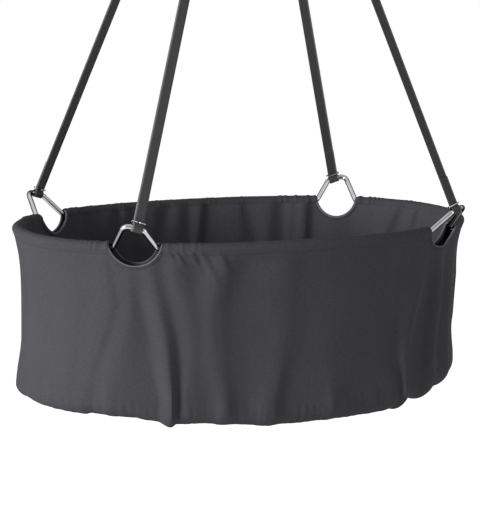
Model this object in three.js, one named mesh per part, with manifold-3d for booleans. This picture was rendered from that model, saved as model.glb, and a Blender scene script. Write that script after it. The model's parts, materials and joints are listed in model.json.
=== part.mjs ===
// A baby cradle that hangs: an oval canvas basket on four webbing straps, which meet on one steel triangle
// and a spring hook. Millimetres and degrees, +Z up, +X along the basket.
// The origin is the point inside the spring hook's upper bow where a ceiling hook bears.

import * as THREE from 'three';
import { mergeVertices } from 'three/addons/utils/BufferGeometryUtils.js';
import Module from 'manifold-3d';

// Overall sizes
const BASKET_LENGTH = 816;
const BASKET_WIDTH = 526;
const BASKET_DEPTH = 276; // rim tube's centre line to the underside, at the ends
const BASE_BOW = 19; // how much lower the base hangs at mid length
const HANG_HEIGHT = 880; // rim tube's centre line to the bar that the straps hang from
const OVAL_EXPONENT = 2.2; // 2 is an ellipse

// Fits
const FIT_GAP = 0.3; // between pieces that touch or are sewn together
const CUT_OVERRUN = 30; // how far a cutter runs past what it cuts

// Steel rod, tubes and hems
const ROD_DIAMETER = 9;
const TUBE_WALL = 1.2;
const HEM_THICKNESS = 1.7;
const PLUG_LENGTH = 24; // rod inside each tube's end

// Notches in the rim, one at each hanger
const NOTCH_ANGLE = 46.5; // of the oval's own parameter, from the length axis
const NOTCH_WIDTH = 88;
const NOTCH_DEPTH = 37; // from the top of the hem

// Wire hangers, in their own leaning plane
const HANGER_SPAN = 73; // between the feet of the legs
const HANGER_LEAN = 43; // outward from upright
const LEG_ANGLE = 68; // between a leg and the rim
const BAR_RISE = 50; // rim to the middle of the sloping bar
const BAR_SHIFT = 7.5; // the bar's middle, toward the middle of the long side
const BAR_TILT = 7; // the bar's slope past square to the strap's pull
const FOOT_BEND = 10;
const OUTER_BEND = 11.5;
const INNER_BEND = 5;
const TUBE_SETBACK = 10.5; // from a leg's foot to the end of the rim tube

// Webbing
const WEBBING_WIDTH = 18;
const WEBBING_THICKNESS = 1.6;
const SEWN_LENGTH = 60; // bar's centre to the end of the doubled part
const SEWN_OVERLAP = 6; // how far the single webbing runs into the doubled part
const SINGLE_NARROWING = 0.1; // each side, which keeps the single webbing's edges inside the doubled part's
const LOOP_NECK = 8.6; // bar's centre to where the two layers meet
const LOOP_SPACING = 0.6; // between neighbouring loops on the top hanger

// Wire keepers
const KEEPER_WIRE = 2.2;
const KEEPER_SEAT = 10.2; // bar's centre to the wire's centre
const KEEPER_SIDE_GAP = 1;
const KEEPER_FACE_GAP = 0.4;
const KEEPER_BEND = 1.6;

// Top hanger, a triangle of the same rod
const TOP_HANGER_RISE = 68; // bar's centre to the apex's centre line
const TOP_HANGER_BEND = 12;
const TOP_BAR_SPARE = 2; // free bar at each end of the row of loops
const WELD_OVERLAP = 5; // of a closed wire's two halves

// Spring hook
const HOOK_ROD = 8;
const HOOK_INNER_LENGTH = 64;
const HOOK_INNER_WIDTH = 24;
const HOOK_NOSE = 5; // straight rod past a bow, at each end of the gate
const GATE_DIAMETER = 7;
const GATE_TONGUE = 2.4;
const GATE_TONGUE_DEPTH = 4.6;
const GATE_PIN_DIAMETER = 2.4;
const GATE_CHEEK = 1.2; // each side of the tongue
const GATE_CLEARANCE = 0.4;

// Canvas
const CANVAS_THICKNESS = 1.6;
const WAIST_INSET = 8; // of the outer canvas, inside the rim tube's centre line
const BELLY_INSET = 4;
const BELLY_CORNER = 24;
const BELLY_RETURN = 12; // flat canvas between the corner and the bottom seam
const LINING_WAIST_INSET = 14;
const LINING_BELLY_INSET = 12;
const LINING_CORNER = 20;
const LINING_RETURN = 14;
const FOLD_DEPTH = 4.5;
const LINING_FOLD_DEPTH = 2.5;
const FOLD_WAVES = [
  { folds: 7, turn: 1.1, depthShare: 0.6 },
  { folds: 12, turn: 0.4, depthShare: 0.4 },
]; // round the whole oval

// Base board and mattress
const BOARD_INSET = 34;
const BOARD_THICKNESS = 6;
const MATTRESS_THICKNESS = 40;
const MATTRESS_INSET = 21;
const MATTRESS_CROWN = 6;
const MATTRESS_SIDE_DRAW = 3;
const MATTRESS_EDGE = 15;

// Faceting
const ROD_SIDES = 10;
const TUBE_SIDES = 8;
const WIRE_SIDES = 6;
const PIN_SIDES = 12;
const NOTCH_STEPS = 16;
const TWIST_STATIONS = 14;
const RIM_STEP = 38; // of rim between two stations
const ROD_BEND_STEP = 22; // degrees
const WIRE_BEND_STEP = 45; // degrees

// Sizes worked out from those above
const ROD_RADIUS = ROD_DIAMETER / 2;
const TUBE_BORE = boreRadius(ROD_RADIUS, TUBE_SIDES);
const TUBE_RADIUS = TUBE_BORE + TUBE_WALL;
const HEM_RADIUS = TUBE_RADIUS + FIT_GAP + HEM_THICKNESS;
const RIM_HALF_LENGTH = BASKET_LENGTH / 2 - HEM_RADIUS;
const RIM_HALF_WIDTH = BASKET_WIDTH / 2 - HEM_RADIUS;
const HOOK_LOW_BOW_Z = -HOOK_INNER_LENGTH - HOOK_ROD / 2;
const TOP_APEX_Z = HOOK_LOW_BOW_Z + HOOK_ROD / 2 + FIT_GAP + ROD_RADIUS;
const TOP_BAR_Z = TOP_APEX_Z - TOP_HANGER_RISE;
const RIM_Z = TOP_BAR_Z - HANG_HEIGHT;
const UNDERSIDE_Z = RIM_Z - BASKET_DEPTH;
const BOARD_Z = UNDERSIDE_Z + CANVAS_THICKNESS + FIT_GAP;
const LINING_FLOOR_Z = BOARD_Z + BOARD_THICKNESS + FIT_GAP;
const MATTRESS_Z = LINING_FLOOR_Z + CANVAS_THICKNESS + FIT_GAP;

const UP = new THREE.Vector3(0, 0, 1);
const wasm = await Module();
wasm.setup();

const cradle = new THREE.Group();

const steel = { color: 0xb9bbbe, roughness: 0.22, metalness: 1 };
const tubeSteel = { color: 0x8d9093, roughness: 0.45, metalness: 1 };
const webbing = { color: 0x4b4b4d, roughness: 0.9, metalness: 0 };
const canvas = { color: 0x47474b, roughness: 0.95, metalness: 0 };
const plywood = { color: 0xc9a878, roughness: 0.7, metalness: 0 };
const mattressCloth = { color: 0xe9e6df, roughness: 0.95, metalness: 0 };

// The radius at the corners of a faceted bore that a round bar fits in with the usual gap
function boreRadius(barRadius, sides) {
  return (barRadius + FIT_GAP) / Math.cos(Math.PI / sides);
}

function addPiece(name, geometry, finish) {
  const mesh = new THREE.Mesh(geometry, new THREE.MeshStandardMaterial(finish));
  mesh.name = name;
  cradle.add(mesh);
  return mesh;
}

// Joining and cutting of closed meshes

function toSolid(geometry) {
  const bare = geometry.clone();
  bare.deleteAttribute('normal');
  bare.deleteAttribute('uv');
  const merged = mergeVertices(bare);
  return new wasm.Manifold(new wasm.Mesh({
    numProp: 3,
    vertProperties: new Float32Array(merged.attributes.position.array),
    triVerts: new Uint32Array(merged.index.array),
  }));
}

function toGeometry(solid) {
  const mesh = solid.getMesh();
  const geometry = new THREE.BufferGeometry();
  geometry.setAttribute('position', new THREE.BufferAttribute(new Float32Array(mesh.vertProperties), 3));
  geometry.setIndex(Array.from(mesh.triVerts));
  geometry.computeVertexNormals();
  return geometry;
}

function joined(geometries) {
  return toGeometry(geometries.map(toSolid).reduce((whole, next) => whole.add(next)));
}

function cut(geometry, cutters) {
  return toGeometry(cutters.map(toSolid).reduce((rest, cutter) => rest.subtract(cutter), toSolid(geometry)));
}

// A path through given stations, with one section at each station.
// The section's own x direction lies as near as it can to a given direction at each station.
class StationPath extends THREE.Curve {
  constructor(stations, sideDirections) {
    super();
    this.stations = stations;
    this.sideDirections = sideDirections;
  }

  getPoint(share, target = new THREE.Vector3()) {
    const place = share * (this.stations.length - 1);
    const index = Math.min(Math.floor(place), this.stations.length - 2);
    return target.lerpVectors(this.stations[index], this.stations[index + 1], place - index);
  }

  getUtoTmapping(share) {
    return share;
  }

  computeFrenetFrames() {
    const last = this.stations.length - 1;
    const frames = { tangents: [], normals: [], binormals: [] };
    this.stations.forEach((station, index) => {
      const back = this.stations[Math.max(index - 1, 0)];
      const ahead = this.stations[Math.min(index + 1, last)];
      const coming = index > 0 ? station.clone().sub(back).normalize() : new THREE.Vector3();
      const going = index < last ? ahead.clone().sub(station).normalize() : new THREE.Vector3();
      const tangent = coming.add(going).normalize();
      const normal = this.sideDirections[index].clone().projectOnPlane(tangent).normalize();
      frames.tangents.push(tangent);
      frames.normals.push(normal);
      frames.binormals.push(tangent.clone().cross(normal));
    });
    return frames;
  }
}

function sweep(section, stations, sideDirections, sidesOfCircle) {
  const sides = Array.isArray(sideDirections) ? sideDirections : stations.map(() => sideDirections);
  return new THREE.ExtrudeGeometry(section, {
    steps: stations.length - 1,
    curveSegments: sidesOfCircle / 2,
    extrudePath: new StationPath(stations, sides),
  });
}

function disc(radius, holeRadius = 0) {
  const shape = new THREE.Shape().absarc(0, 0, radius, 0, 2 * Math.PI, false);
  if (holeRadius > 0) shape.holes.push(new THREE.Path().absarc(0, 0, holeRadius, 0, 2 * Math.PI, true));
  return shape;
}

// Stations of a wire bent at each inner corner with that corner's centre-line radius
function bentStations(corners, bendStep = ROD_BEND_STEP) {
  const stations = [corners[0].point.clone()];
  for (let index = 1; index < corners.length - 1; index++) {
    const { point, bend } = corners[index];
    if (!bend) {
      stations.push(point.clone());
      continue;
    }
    const coming = point.clone().sub(corners[index - 1].point).normalize();
    const going = corners[index + 1].point.clone().sub(point).normalize();
    const turn = coming.angleTo(going);
    const axis = coming.clone().cross(going).normalize();
    const start = point.clone().addScaledVector(coming, -bend * Math.tan(turn / 2));
    const centre = start.clone().addScaledVector(axis.clone().cross(coming), bend);
    const steps = Math.ceil(turn / THREE.MathUtils.degToRad(bendStep));
    for (let step = 0; step <= steps; step++) {
      const spoke = start.clone().sub(centre).applyAxisAngle(axis, (turn * step) / steps);
      stations.push(spoke.add(centre));
    }
  }
  stations.push(corners.at(-1).point.clone());
  return stations;
}

// The oval: a point on the rim tube's centre line, its outward direction, and a point beside it

function rimPoint(angle) {
  const along = Math.sign(Math.cos(angle)) * Math.abs(Math.cos(angle)) ** (2 / OVAL_EXPONENT);
  const across = Math.sign(Math.sin(angle)) * Math.abs(Math.sin(angle)) ** (2 / OVAL_EXPONENT);
  return new THREE.Vector3(RIM_HALF_LENGTH * along, RIM_HALF_WIDTH * across, RIM_Z);
}

function rimOutward(angle) {
  const { x, y } = rimPoint(angle);
  const slope = (value, half) => (Math.sign(value) * Math.abs(value / half) ** (OVAL_EXPONENT - 1)) / half;
  return new THREE.Vector3(slope(x, RIM_HALF_LENGTH), slope(y, RIM_HALF_WIDTH), 0).normalize();
}

function besideRim(angle, offset, z) {
  return rimPoint(angle).addScaledVector(rimOutward(angle), offset).setZ(z);
}

// The oval's parameter at a given walk along the rim from another one
function walkRim(angle, distance) {
  const steps = 24;
  const probe = 0.001;
  let place = angle;
  for (let step = 0; step < steps; step++) {
    const speed = rimPoint(place + probe).distanceTo(rimPoint(place - probe)) / (2 * probe);
    place += distance / steps / speed;
  }
  return place;
}

function rimLength(from, to) {
  const samples = 40;
  const places = Array.from({ length: samples + 1 }, (_, index) => rimPoint(from + ((to - from) * index) / samples));
  return places.slice(1).reduce((sum, place, index) => sum + place.distanceTo(places[index]), 0);
}

// How far a base that is bowed along the basket hangs below its ends
function baseDrop(x) {
  return BASE_BOW * (1 - (x / RIM_HALF_LENGTH) ** 2);
}

// Stations round the oval. Everything that follows the oval uses them, so that neighbours' facets lie side by side.
// The first step of a tube from its notch is straight, because a hanger's plug lies in it.

const QUARTER = Math.PI / 2;
const NOTCH_TURN = THREE.MathUtils.degToRad(NOTCH_ANGLE);

function evenAngles(from, to) {
  const steps = Math.round(rimLength(from, to) / RIM_STEP);
  return Array.from({ length: steps + 1 }, (_, step) => from + ((to - from) * step) / steps);
}

function mirrored(angles, about) {
  return angles.map((angle) => 2 * about - angle).reverse();
}

const hemMouths = [-1, 1].map((side) => walkRim(NOTCH_TURN, (side * HANGER_SPAN) / 2));
const tubeMouths = [-1, 1].map((side) => walkRim(NOTCH_TURN, side * (HANGER_SPAN / 2 + TUBE_SETBACK)));
const endStations = [...evenAngles(0, walkRim(tubeMouths[0], -RIM_STEP)), tubeMouths[0]];
const sideStations = [tubeMouths[1], ...evenAngles(walkRim(tubeMouths[1], RIM_STEP), QUARTER)];
const quarterStations = [...endStations, hemMouths[0], NOTCH_TURN, hemMouths[1], ...sideStations];
const halfStations = [...quarterStations, ...mirrored(quarterStations.slice(1, -1), QUARTER)];
const ringAngles = [...halfStations, ...halfStations.map((angle) => angle + Math.PI)];

// The four corners of the basket, each with the way round the rim that leads to the middle of a long side,
// and its strap's place in the row of loops on the top hanger
const corners = [
  { name: 'back_right', angle: NOTCH_TURN, inward: 1, place: 0.5 },
  { name: 'back_left', angle: Math.PI - NOTCH_TURN, inward: -1, place: -1.5 },
  { name: 'front_left', angle: Math.PI + NOTCH_TURN, inward: 1, place: -0.5 },
  { name: 'front_right', angle: 2 * Math.PI - NOTCH_TURN, inward: -1, place: 1.5 },
];

const LOOP_PITCH = WEBBING_WIDTH + LOOP_SPACING;

// Everything that lies on a corner's hanger: its feet, its leaning plane, its bar and its strap's line
function hangerFrame({ angle, inward, place }) {
  const innerFoot = rimPoint(walkRim(angle, (inward * HANGER_SPAN) / 2));
  const outerFoot = rimPoint(walkRim(angle, (-inward * HANGER_SPAN) / 2));
  const middle = innerFoot.clone().add(outerFoot).divideScalar(2);
  const across = innerFoot.clone().sub(outerFoot).normalize();
  const lean = THREE.MathUtils.degToRad(HANGER_LEAN);
  const outward = rimOutward(angle).projectOnPlane(across).normalize();
  const rise = outward.clone().multiplyScalar(Math.sin(lean)).addScaledVector(UP, Math.cos(lean));
  const barMiddle = middle.clone().addScaledVector(across, BAR_SHIFT).addScaledVector(rise, BAR_RISE);
  const strapTop = new THREE.Vector3(place * LOOP_PITCH, 0, TOP_BAR_Z);
  const pull = strapTop.clone().sub(barMiddle).normalize();
  const squareSlope = Math.atan2(across.dot(pull), rise.dot(pull));
  const barSlope = squareSlope + THREE.MathUtils.degToRad(BAR_TILT);
  const barDirection = across.clone().multiplyScalar(Math.cos(barSlope)).addScaledVector(rise, -Math.sin(barSlope));
  return { innerFoot, outerFoot, middle, across, rise, barMiddle, barDirection, barSlope, strapTop, pull };
}

// Where a leg's line meets the bar's line, in the hanger's plane; side is 1 for the inner leg and -1 for the outer
function legCorner(frame, side) {
  const legRun = 1 / Math.tan(THREE.MathUtils.degToRad(LEG_ANGLE));
  const barFall = Math.tan(frame.barSlope);
  const foot = frame.innerFoot.distanceTo(frame.outerFoot) / 2;
  const height = (BAR_RISE - barFall * (side * foot - BAR_SHIFT)) / (1 - side * barFall * legRun);
  const run = side * (foot - height * legRun);
  return frame.middle.clone().addScaledVector(frame.across, run).addScaledVector(frame.rise, height);
}

// A wire hanger: two plugs in the rim tubes, two legs and a sloping bar between them
function hangerGeometry(corner) {
  const frame = hangerFrame(corner);
  const plug = (side) => {
    const way = corner.inward * side;
    const mouthAngle = walkRim(corner.angle, way * (HANGER_SPAN / 2 + TUBE_SETBACK));
    const mouth = rimPoint(mouthAngle);
    const inside = rimPoint(walkRim(mouthAngle, way * RIM_STEP));
    return { mouth, end: mouth.clone().add(inside.sub(mouth).setLength(PLUG_LENGTH)) };
  };
  const outer = plug(-1);
  const inner = plug(1);
  const stations = bentStations([
    { point: outer.end },
    { point: outer.mouth },
    { point: frame.outerFoot, bend: FOOT_BEND },
    { point: legCorner(frame, -1), bend: OUTER_BEND },
    { point: legCorner(frame, 1), bend: INNER_BEND },
    { point: frame.innerFoot, bend: FOOT_BEND },
    { point: inner.mouth },
    { point: inner.end },
  ]);
  const planeNormal = frame.across.clone().cross(frame.rise);
  return sweep(disc(ROD_RADIUS), stations, planeNormal, ROD_SIDES);
}

// Rim tubes and hems run from one notch to the next

const sideTube = [...sideStations, ...mirrored(sideStations.slice(0, -1), QUARTER)];
const endTube = [...mirrored(endStations.slice(1), 0), ...endStations];

const rimRuns = [
  { name: 'back', turn: 0, stations: sideTube },
  { name: 'left', turn: Math.PI, stations: endTube },
  { name: 'front', turn: Math.PI, stations: sideTube },
  { name: 'right', turn: 0, stations: endTube },
];

function tubeGeometry({ turn, stations }) {
  const places = stations.map((angle) => rimPoint(angle + turn));
  return sweep(disc(TUBE_RADIUS, TUBE_BORE), places, UP, TUBE_SIDES);
}

function hemGeometry({ turn, stations }) {
  const ends = [walkRim(stations[0], -TUBE_SETBACK), walkRim(stations.at(-1), TUBE_SETBACK)];
  const places = [ends[0], ...stations, ends[1]].map((angle) => rimPoint(angle + turn));
  const sleeve = sweep(disc(HEM_RADIUS, TUBE_RADIUS + FIT_GAP), places, UP, TUBE_SIDES);
  return cut(sleeve, notches);
}

// The round notch, open at the top, cut square through the rim
function notchCutter({ angle }) {
  const radius = (NOTCH_WIDTH ** 2 / 4 + NOTCH_DEPTH ** 2) / (2 * NOTCH_DEPTH);
  const centreRise = HEM_RADIUS - NOTCH_DEPTH + radius;
  const outline = new THREE.Shape();
  outline.moveTo(-radius, centreRise + CUT_OVERRUN);
  outline.lineTo(-radius, centreRise);
  outline.absarc(0, centreRise, radius, Math.PI, 2 * Math.PI, false);
  outline.lineTo(radius, centreRise + CUT_OVERRUN);
  const cutter = new THREE.ExtrudeGeometry(outline, {
    depth: 2 * (HEM_RADIUS + CUT_OVERRUN),
    bevelEnabled: false,
    curveSegments: NOTCH_STEPS / 2,
  });
  cutter.translate(0, 0, -HEM_RADIUS - CUT_OVERRUN);
  const outward = rimOutward(angle);
  const sideways = UP.clone().cross(outward);
  return cutter.applyMatrix4(new THREE.Matrix4().makeBasis(sideways, UP, outward).setPosition(rimPoint(angle)));
}

const notches = corners.map(notchCutter);

// Canvas, board and mattress

// How far the folds stand out at a place round the oval, from -1 to 1
function foldWave(angle) {
  const depths = FOLD_WAVES.map(({ folds, turn, depthShare }) => depthShare * Math.cos(folds * angle + turn));
  return depths.reduce((sum, depth) => sum + depth);
}

// One ring of points beside the rim. With baseShare 1 it follows the base's bow.
function ring({ offset, z, foldDepth = 0, baseShare = 1 }) {
  return ringAngles.map((angle) => {
    const point = besideRim(angle, offset + foldDepth * foldWave(angle), z);
    point.z -= baseShare * baseDrop(point.x);
    return point;
  });
}

// A solid over rings of points, which go up its outside. Its last ring joins its first one, or else both are filled
// straight across the basket, from each station to the one opposite.
function ringSolid(rings, joinsUp = false) {
  const columns = ringAngles.length;
  const at = (row, column) => (row % rings.length) * columns + ((column + columns) % columns);
  const indices = [];
  const rows = joinsUp ? rings.length : rings.length - 1;
  for (let row = 0; row < rows; row++) {
    for (let column = 0; column < columns; column++) {
      indices.push(at(row, column), at(row, column + 1), at(row + 1, column));
      indices.push(at(row, column + 1), at(row + 1, column + 1), at(row + 1, column));
    }
  }
  const top = rings.length - 1;
  for (let column = 0; column < columns / 2 && !joinsUp; column++) {
    const last = column + 1 === columns / 2;
    if (!last) indices.push(at(top, column), at(top, column + 1), at(top, -column - 1));
    if (!last) indices.push(at(0, column + 1), at(0, column), at(0, -column - 1));
    if (column > 0) indices.push(at(top, column), at(top, -column - 1), at(top, -column));
    if (column > 0) indices.push(at(0, -column - 1), at(0, column), at(0, -column));
  }
  const geometry = new THREE.BufferGeometry();
  const positions = rings.flat().flatMap((point) => point.toArray());
  geometry.setAttribute('position', new THREE.Float32BufferAttribute(positions, 3));
  geometry.setIndex(indices);
  geometry.computeVertexNormals();
  return geometry;
}

// The middle of a canvas wall from its top edge to its bottom seam. Each place has the share of the folds' full depth
// and of the base's bow that it takes.
function wallProfile({ topOffset, topZ, waistInset, bellyInset, cornerRadius, returnLength, floorZ }) {
  const waistShare = 0.5;
  const wallShares = [0, 0.24, 0.55, 1];
  const cornerZ = floorZ + cornerRadius;
  const blend = (from, to, share) => from + (to - from) * (0.5 - 0.5 * Math.cos(Math.PI * share));
  const wall = wallShares.map((share) => ({
    offset: share < waistShare
      ? blend(topOffset, -waistInset, share / waistShare)
      : blend(-waistInset, -bellyInset, (share - waistShare) / (1 - waistShare)),
    z: topZ + (cornerZ - topZ) * share,
    foldShare: share,
    baseShare: share,
  }));
  const cornerSteps = 3;
  const corner = Array.from({ length: cornerSteps }, (_, index) => {
    const share = (index + 1) / cornerSteps;
    const turn = QUARTER * share;
    return {
      offset: -bellyInset - cornerRadius * (1 - Math.cos(turn)),
      z: cornerZ - cornerRadius * Math.sin(turn),
      foldShare: 1 - share,
      baseShare: 1,
    };
  });
  const seam = { offset: corner.at(-1).offset - returnLength, z: floorZ, foldShare: 0, baseShare: 1 };
  return [...wall, ...corner, seam];
}

// A closed shell of canvas, as thick as the canvas, on both sides of the profile
function wallGeometry(profile, foldDepth) {
  const square = profile.map((_, index) => {
    const back = profile[Math.max(index - 1, 0)];
    const ahead = profile[Math.min(index + 1, profile.length - 1)];
    const run = new THREE.Vector2(ahead.offset - back.offset, ahead.z - back.z).normalize();
    return new THREE.Vector2(-run.y, run.x);
  });
  square[0].set(1, 0);
  const face = (side) => profile.map((place, index) => ring({
    offset: place.offset + (side * CANVAS_THICKNESS * square[index].x) / 2,
    z: place.z + (side * CANVAS_THICKNESS * square[index].y) / 2,
    foldDepth: foldDepth * place.foldShare,
    baseShare: place.baseShare,
  }));
  return cut(ringSolid([...face(-1), ...face(1).reverse()], true), notches);
}

// A wall's top edge lies against the hem, beside the rim tube
const WALL_TOP_OFFSET = HEM_RADIUS - HEM_THICKNESS / 2 - CANVAS_THICKNESS / 2;
const WALL_TOP_Z = RIM_Z - Math.sqrt((HEM_RADIUS + FIT_GAP) ** 2 - (WALL_TOP_OFFSET - CANVAS_THICKNESS / 2) ** 2);

const outerProfile = wallProfile({
  topOffset: WALL_TOP_OFFSET,
  topZ: WALL_TOP_Z,
  waistInset: WAIST_INSET,
  bellyInset: BELLY_INSET,
  cornerRadius: BELLY_CORNER,
  returnLength: BELLY_RETURN,
  floorZ: UNDERSIDE_Z + CANVAS_THICKNESS / 2,
});

const liningProfile = wallProfile({
  topOffset: -WALL_TOP_OFFSET,
  topZ: WALL_TOP_Z,
  waistInset: LINING_WAIST_INSET,
  bellyInset: LINING_BELLY_INSET,
  cornerRadius: LINING_CORNER,
  returnLength: LINING_RETURN,
  floorZ: LINING_FLOOR_Z + CANVAS_THICKNESS / 2,
});

// An oval plate, its edge a given distance inside the rim tube's centre line
function plateGeometry(inset, thickness, z) {
  return ringSolid([ring({ offset: -inset, z }), ring({ offset: -inset, z: z + thickness })]);
}

// The mattress: an oval cushion with rounded edges, sides drawn in at half height and a crowned top
function mattressGeometry() {
  const top = MATTRESS_Z + MATTRESS_THICKNESS;
  const edgeSteps = 3;
  const edge = (centreZ, from) => Array.from({ length: edgeSteps }, (_, index) => {
    const turn = from + (QUARTER * (index + 0.5)) / edgeSteps;
    return ring({
      offset: -MATTRESS_INSET - MATTRESS_EDGE * (1 - Math.cos(turn)),
      z: centreZ + MATTRESS_EDGE * Math.sin(turn),
    });
  });
  const flat = -MATTRESS_INSET - 2 * MATTRESS_EDGE;
  const middle = (MATTRESS_Z + top) / 2;
  // The crown's rings: how far in toward the centre, and how high
  const crownShares = [[0, 0.3], [0.3, 0.7], [0.65, 1]];
  const crown = crownShares.map(([inShare, highShare]) => ring({ offset: flat, z: top + MATTRESS_CROWN * highShare })
    .map((point) => {
      const x = point.x * (1 - inShare);
      return new THREE.Vector3(x, point.y * (1 - inShare), point.z + baseDrop(point.x) - baseDrop(x));
    }));
  return ringSolid([
    ring({ offset: flat, z: MATTRESS_Z }),
    ...edge(MATTRESS_Z + MATTRESS_EDGE, -QUARTER),
    ring({ offset: -MATTRESS_INSET - MATTRESS_SIDE_DRAW, z: middle }),
    ...edge(top - MATTRESS_EDGE, 0),
    ...crown,
  ]);
}

// Straps

// The side view of a sewn loop: round the bar, then two layers lying on each other up to the end of the sewing.
// x runs along the strap from the bar's centre and y across its thickness.
function loopOutline() {
  const inner = boreRadius(ROD_RADIUS, ROD_SIDES);
  const outer = inner + WEBBING_THICKNESS;
  const neck = new THREE.Vector2(LOOP_NECK, WEBBING_THICKNESS);
  const touch = neck.angle() + Math.acos(outer / neck.length());
  const outline = new THREE.Shape();
  outline.moveTo(SEWN_LENGTH, -WEBBING_THICKNESS);
  outline.lineTo(SEWN_LENGTH, WEBBING_THICKNESS);
  outline.lineTo(neck.x, neck.y);
  outline.absarc(0, 0, outer, touch, 2 * Math.PI - touch, false);
  outline.lineTo(neck.x, -neck.y);
  const meeting = LOOP_NECK - WEBBING_THICKNESS;
  const hole = new THREE.Path();
  const leave = Math.acos(inner / meeting);
  hole.absarc(0, 0, inner, -leave, leave - 2 * Math.PI, true);
  hole.lineTo(meeting, 0);
  outline.holes.push(hole);
  return outline;
}

// The frame of a sewn loop: square leaves the bar at a right angle, and past the neck the strap drifts along the bar
// by the share of its run that its own direction asks for.
function loopFrame(barPoint, barDirection, strapDirection) {
  const square = strapDirection.clone().projectOnPlane(barDirection).normalize();
  const thick = barDirection.clone().cross(square);
  const driftShare = strapDirection.dot(barDirection) / strapDirection.dot(square);
  const place = (run, across, width) => {
    const drift = driftShare * Math.max(run - LOOP_NECK, 0);
    return barPoint.clone().addScaledVector(square, run).addScaledVector(thick, across)
      .addScaledVector(barDirection, width + drift);
  };
  return { place };
}

function loopGeometry({ place }) {
  const loop = new THREE.ExtrudeGeometry(loopOutline(), {
    depth: WEBBING_WIDTH,
    bevelEnabled: false,
    curveSegments: ROD_SIDES / 2,
  });
  const positions = loop.attributes.position;
  for (let index = 0; index < positions.count; index++) {
    const point = place(positions.getX(index), positions.getY(index), positions.getZ(index) - WEBBING_WIDTH / 2);
    positions.setXYZ(index, point.x, point.y, point.z);
  }
  return loop;
}

// One strap: a loop on its hanger, single webbing that turns as it rises, and a loop on the top hanger
function strapGeometry(corner) {
  const { barMiddle, barDirection, strapTop, pull } = hangerFrame(corner);
  const topDirection = new THREE.Vector3(Math.sign(barDirection.x), 0, 0);
  const down = pull.clone().negate();
  const low = loopFrame(barMiddle, barDirection, pull);
  const high = loopFrame(strapTop, topDirection, down);
  const start = low.place(SEWN_LENGTH - SEWN_OVERLAP, 0, 0);
  const end = high.place(SEWN_LENGTH - SEWN_OVERLAP, 0, 0);
  const stations = [];
  const sides = [];
  for (let index = 0; index < TWIST_STATIONS; index++) {
    const share = index / (TWIST_STATIONS - 1);
    stations.push(start.clone().lerp(end, share));
    sides.push(barDirection.clone().lerp(topDirection, share));
  }
  const half = WEBBING_WIDTH / 2 - SINGLE_NARROWING;
  const flat = WEBBING_THICKNESS / 2;
  const section = new THREE.Shape([
    new THREE.Vector2(-half, -flat),
    new THREE.Vector2(half, -flat),
    new THREE.Vector2(half, flat),
    new THREE.Vector2(-half, flat),
  ]);
  return joined([loopGeometry(low), sweep(section, stations, sides, 2), loopGeometry(high)]);
}

// A keeper: a rectangle of thin wire round both layers of a strap, its ends butted behind the strap
function keeperGeometry(corner) {
  const { barMiddle, barDirection, pull } = hangerFrame(corner);
  const thick = barDirection.clone().cross(pull).normalize();
  const centre = loopFrame(barMiddle, barDirection, pull).place(KEEPER_SEAT, 0, 0);
  const halfWidth = WEBBING_WIDTH / 2 + KEEPER_SIDE_GAP + KEEPER_WIRE / 2;
  const halfDepth = WEBBING_THICKNESS + KEEPER_FACE_GAP + KEEPER_WIRE / 2;
  const at = (width, depth) => centre.clone().addScaledVector(barDirection, width).addScaledVector(thick, depth);
  const stations = bentStations([
    { point: at(FIT_GAP, halfDepth) },
    { point: at(halfWidth, halfDepth), bend: KEEPER_BEND },
    { point: at(halfWidth, -halfDepth), bend: KEEPER_BEND },
    { point: at(-halfWidth, -halfDepth), bend: KEEPER_BEND },
    { point: at(-halfWidth, halfDepth), bend: KEEPER_BEND },
    { point: at(-FIT_GAP, halfDepth) },
  ], WIRE_BEND_STEP);
  return sweep(disc(KEEPER_WIRE / 2), stations, pull, WIRE_SIDES);
}

// The top hanger: a straight bar for the four loops, two legs, and an apex round the spring hook's lower bow
function topHangerGeometry() {
  const barEnd = 2 * LOOP_PITCH + TOP_BAR_SPARE;
  const slope = Math.atan2(TOP_HANGER_RISE - 2 * TOP_HANGER_BEND, barEnd);
  const cornerX = barEnd + TOP_HANGER_BEND / Math.tan(slope / 2);
  const peakZ = TOP_APEX_Z + TOP_HANGER_BEND * (1 / Math.cos(slope) - 1);
  const half = (side) => {
    const at = (x, z) => new THREE.Vector3(side * x, 0, z);
    const stations = bentStations([
      { point: at(-WELD_OVERLAP, TOP_BAR_Z) },
      { point: at(cornerX, TOP_BAR_Z), bend: TOP_HANGER_BEND },
      { point: at(0, peakZ), bend: TOP_HANGER_BEND },
      { point: at(-cornerX, TOP_BAR_Z) },
    ]);
    const kept = stations.filter((station) => station.x * side >= -WELD_OVERLAP);
    return sweep(disc(ROD_RADIUS), kept, new THREE.Vector3(0, 1, 0), ROD_SIDES);
  };
  return joined([half(1), half(-1)]);
}

// The spring hook, in the plane across the basket: bows above and below, a spine behind and a gate in front.
// The gate turns inward on a pin through the tongue on the lower nose.

const HOOK_BOW = (HOOK_INNER_WIDTH + HOOK_ROD) / 2;
const UPPER_NOSE_Z = -HOOK_INNER_WIDTH / 2 - HOOK_NOSE;
const LOWER_NOSE_Z = -HOOK_INNER_LENGTH + HOOK_INNER_WIDTH / 2 + HOOK_NOSE;
const GATE_PIVOT_Z = LOWER_NOSE_Z + GATE_DIAMETER / 2 + GATE_CLEARANCE;

function block(width, depth, height, centre) {
  return new THREE.BoxGeometry(width, depth, height).translate(...centre.toArray());
}

// A round bar along X, centred on the gate's pivot
function pivotBar(radius, length) {
  const bar = new THREE.CylinderGeometry(radius, radius, length, PIN_SIDES).rotateZ(Math.PI / 2);
  return bar.translate(0, -HOOK_BOW, GATE_PIVOT_Z);
}

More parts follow.
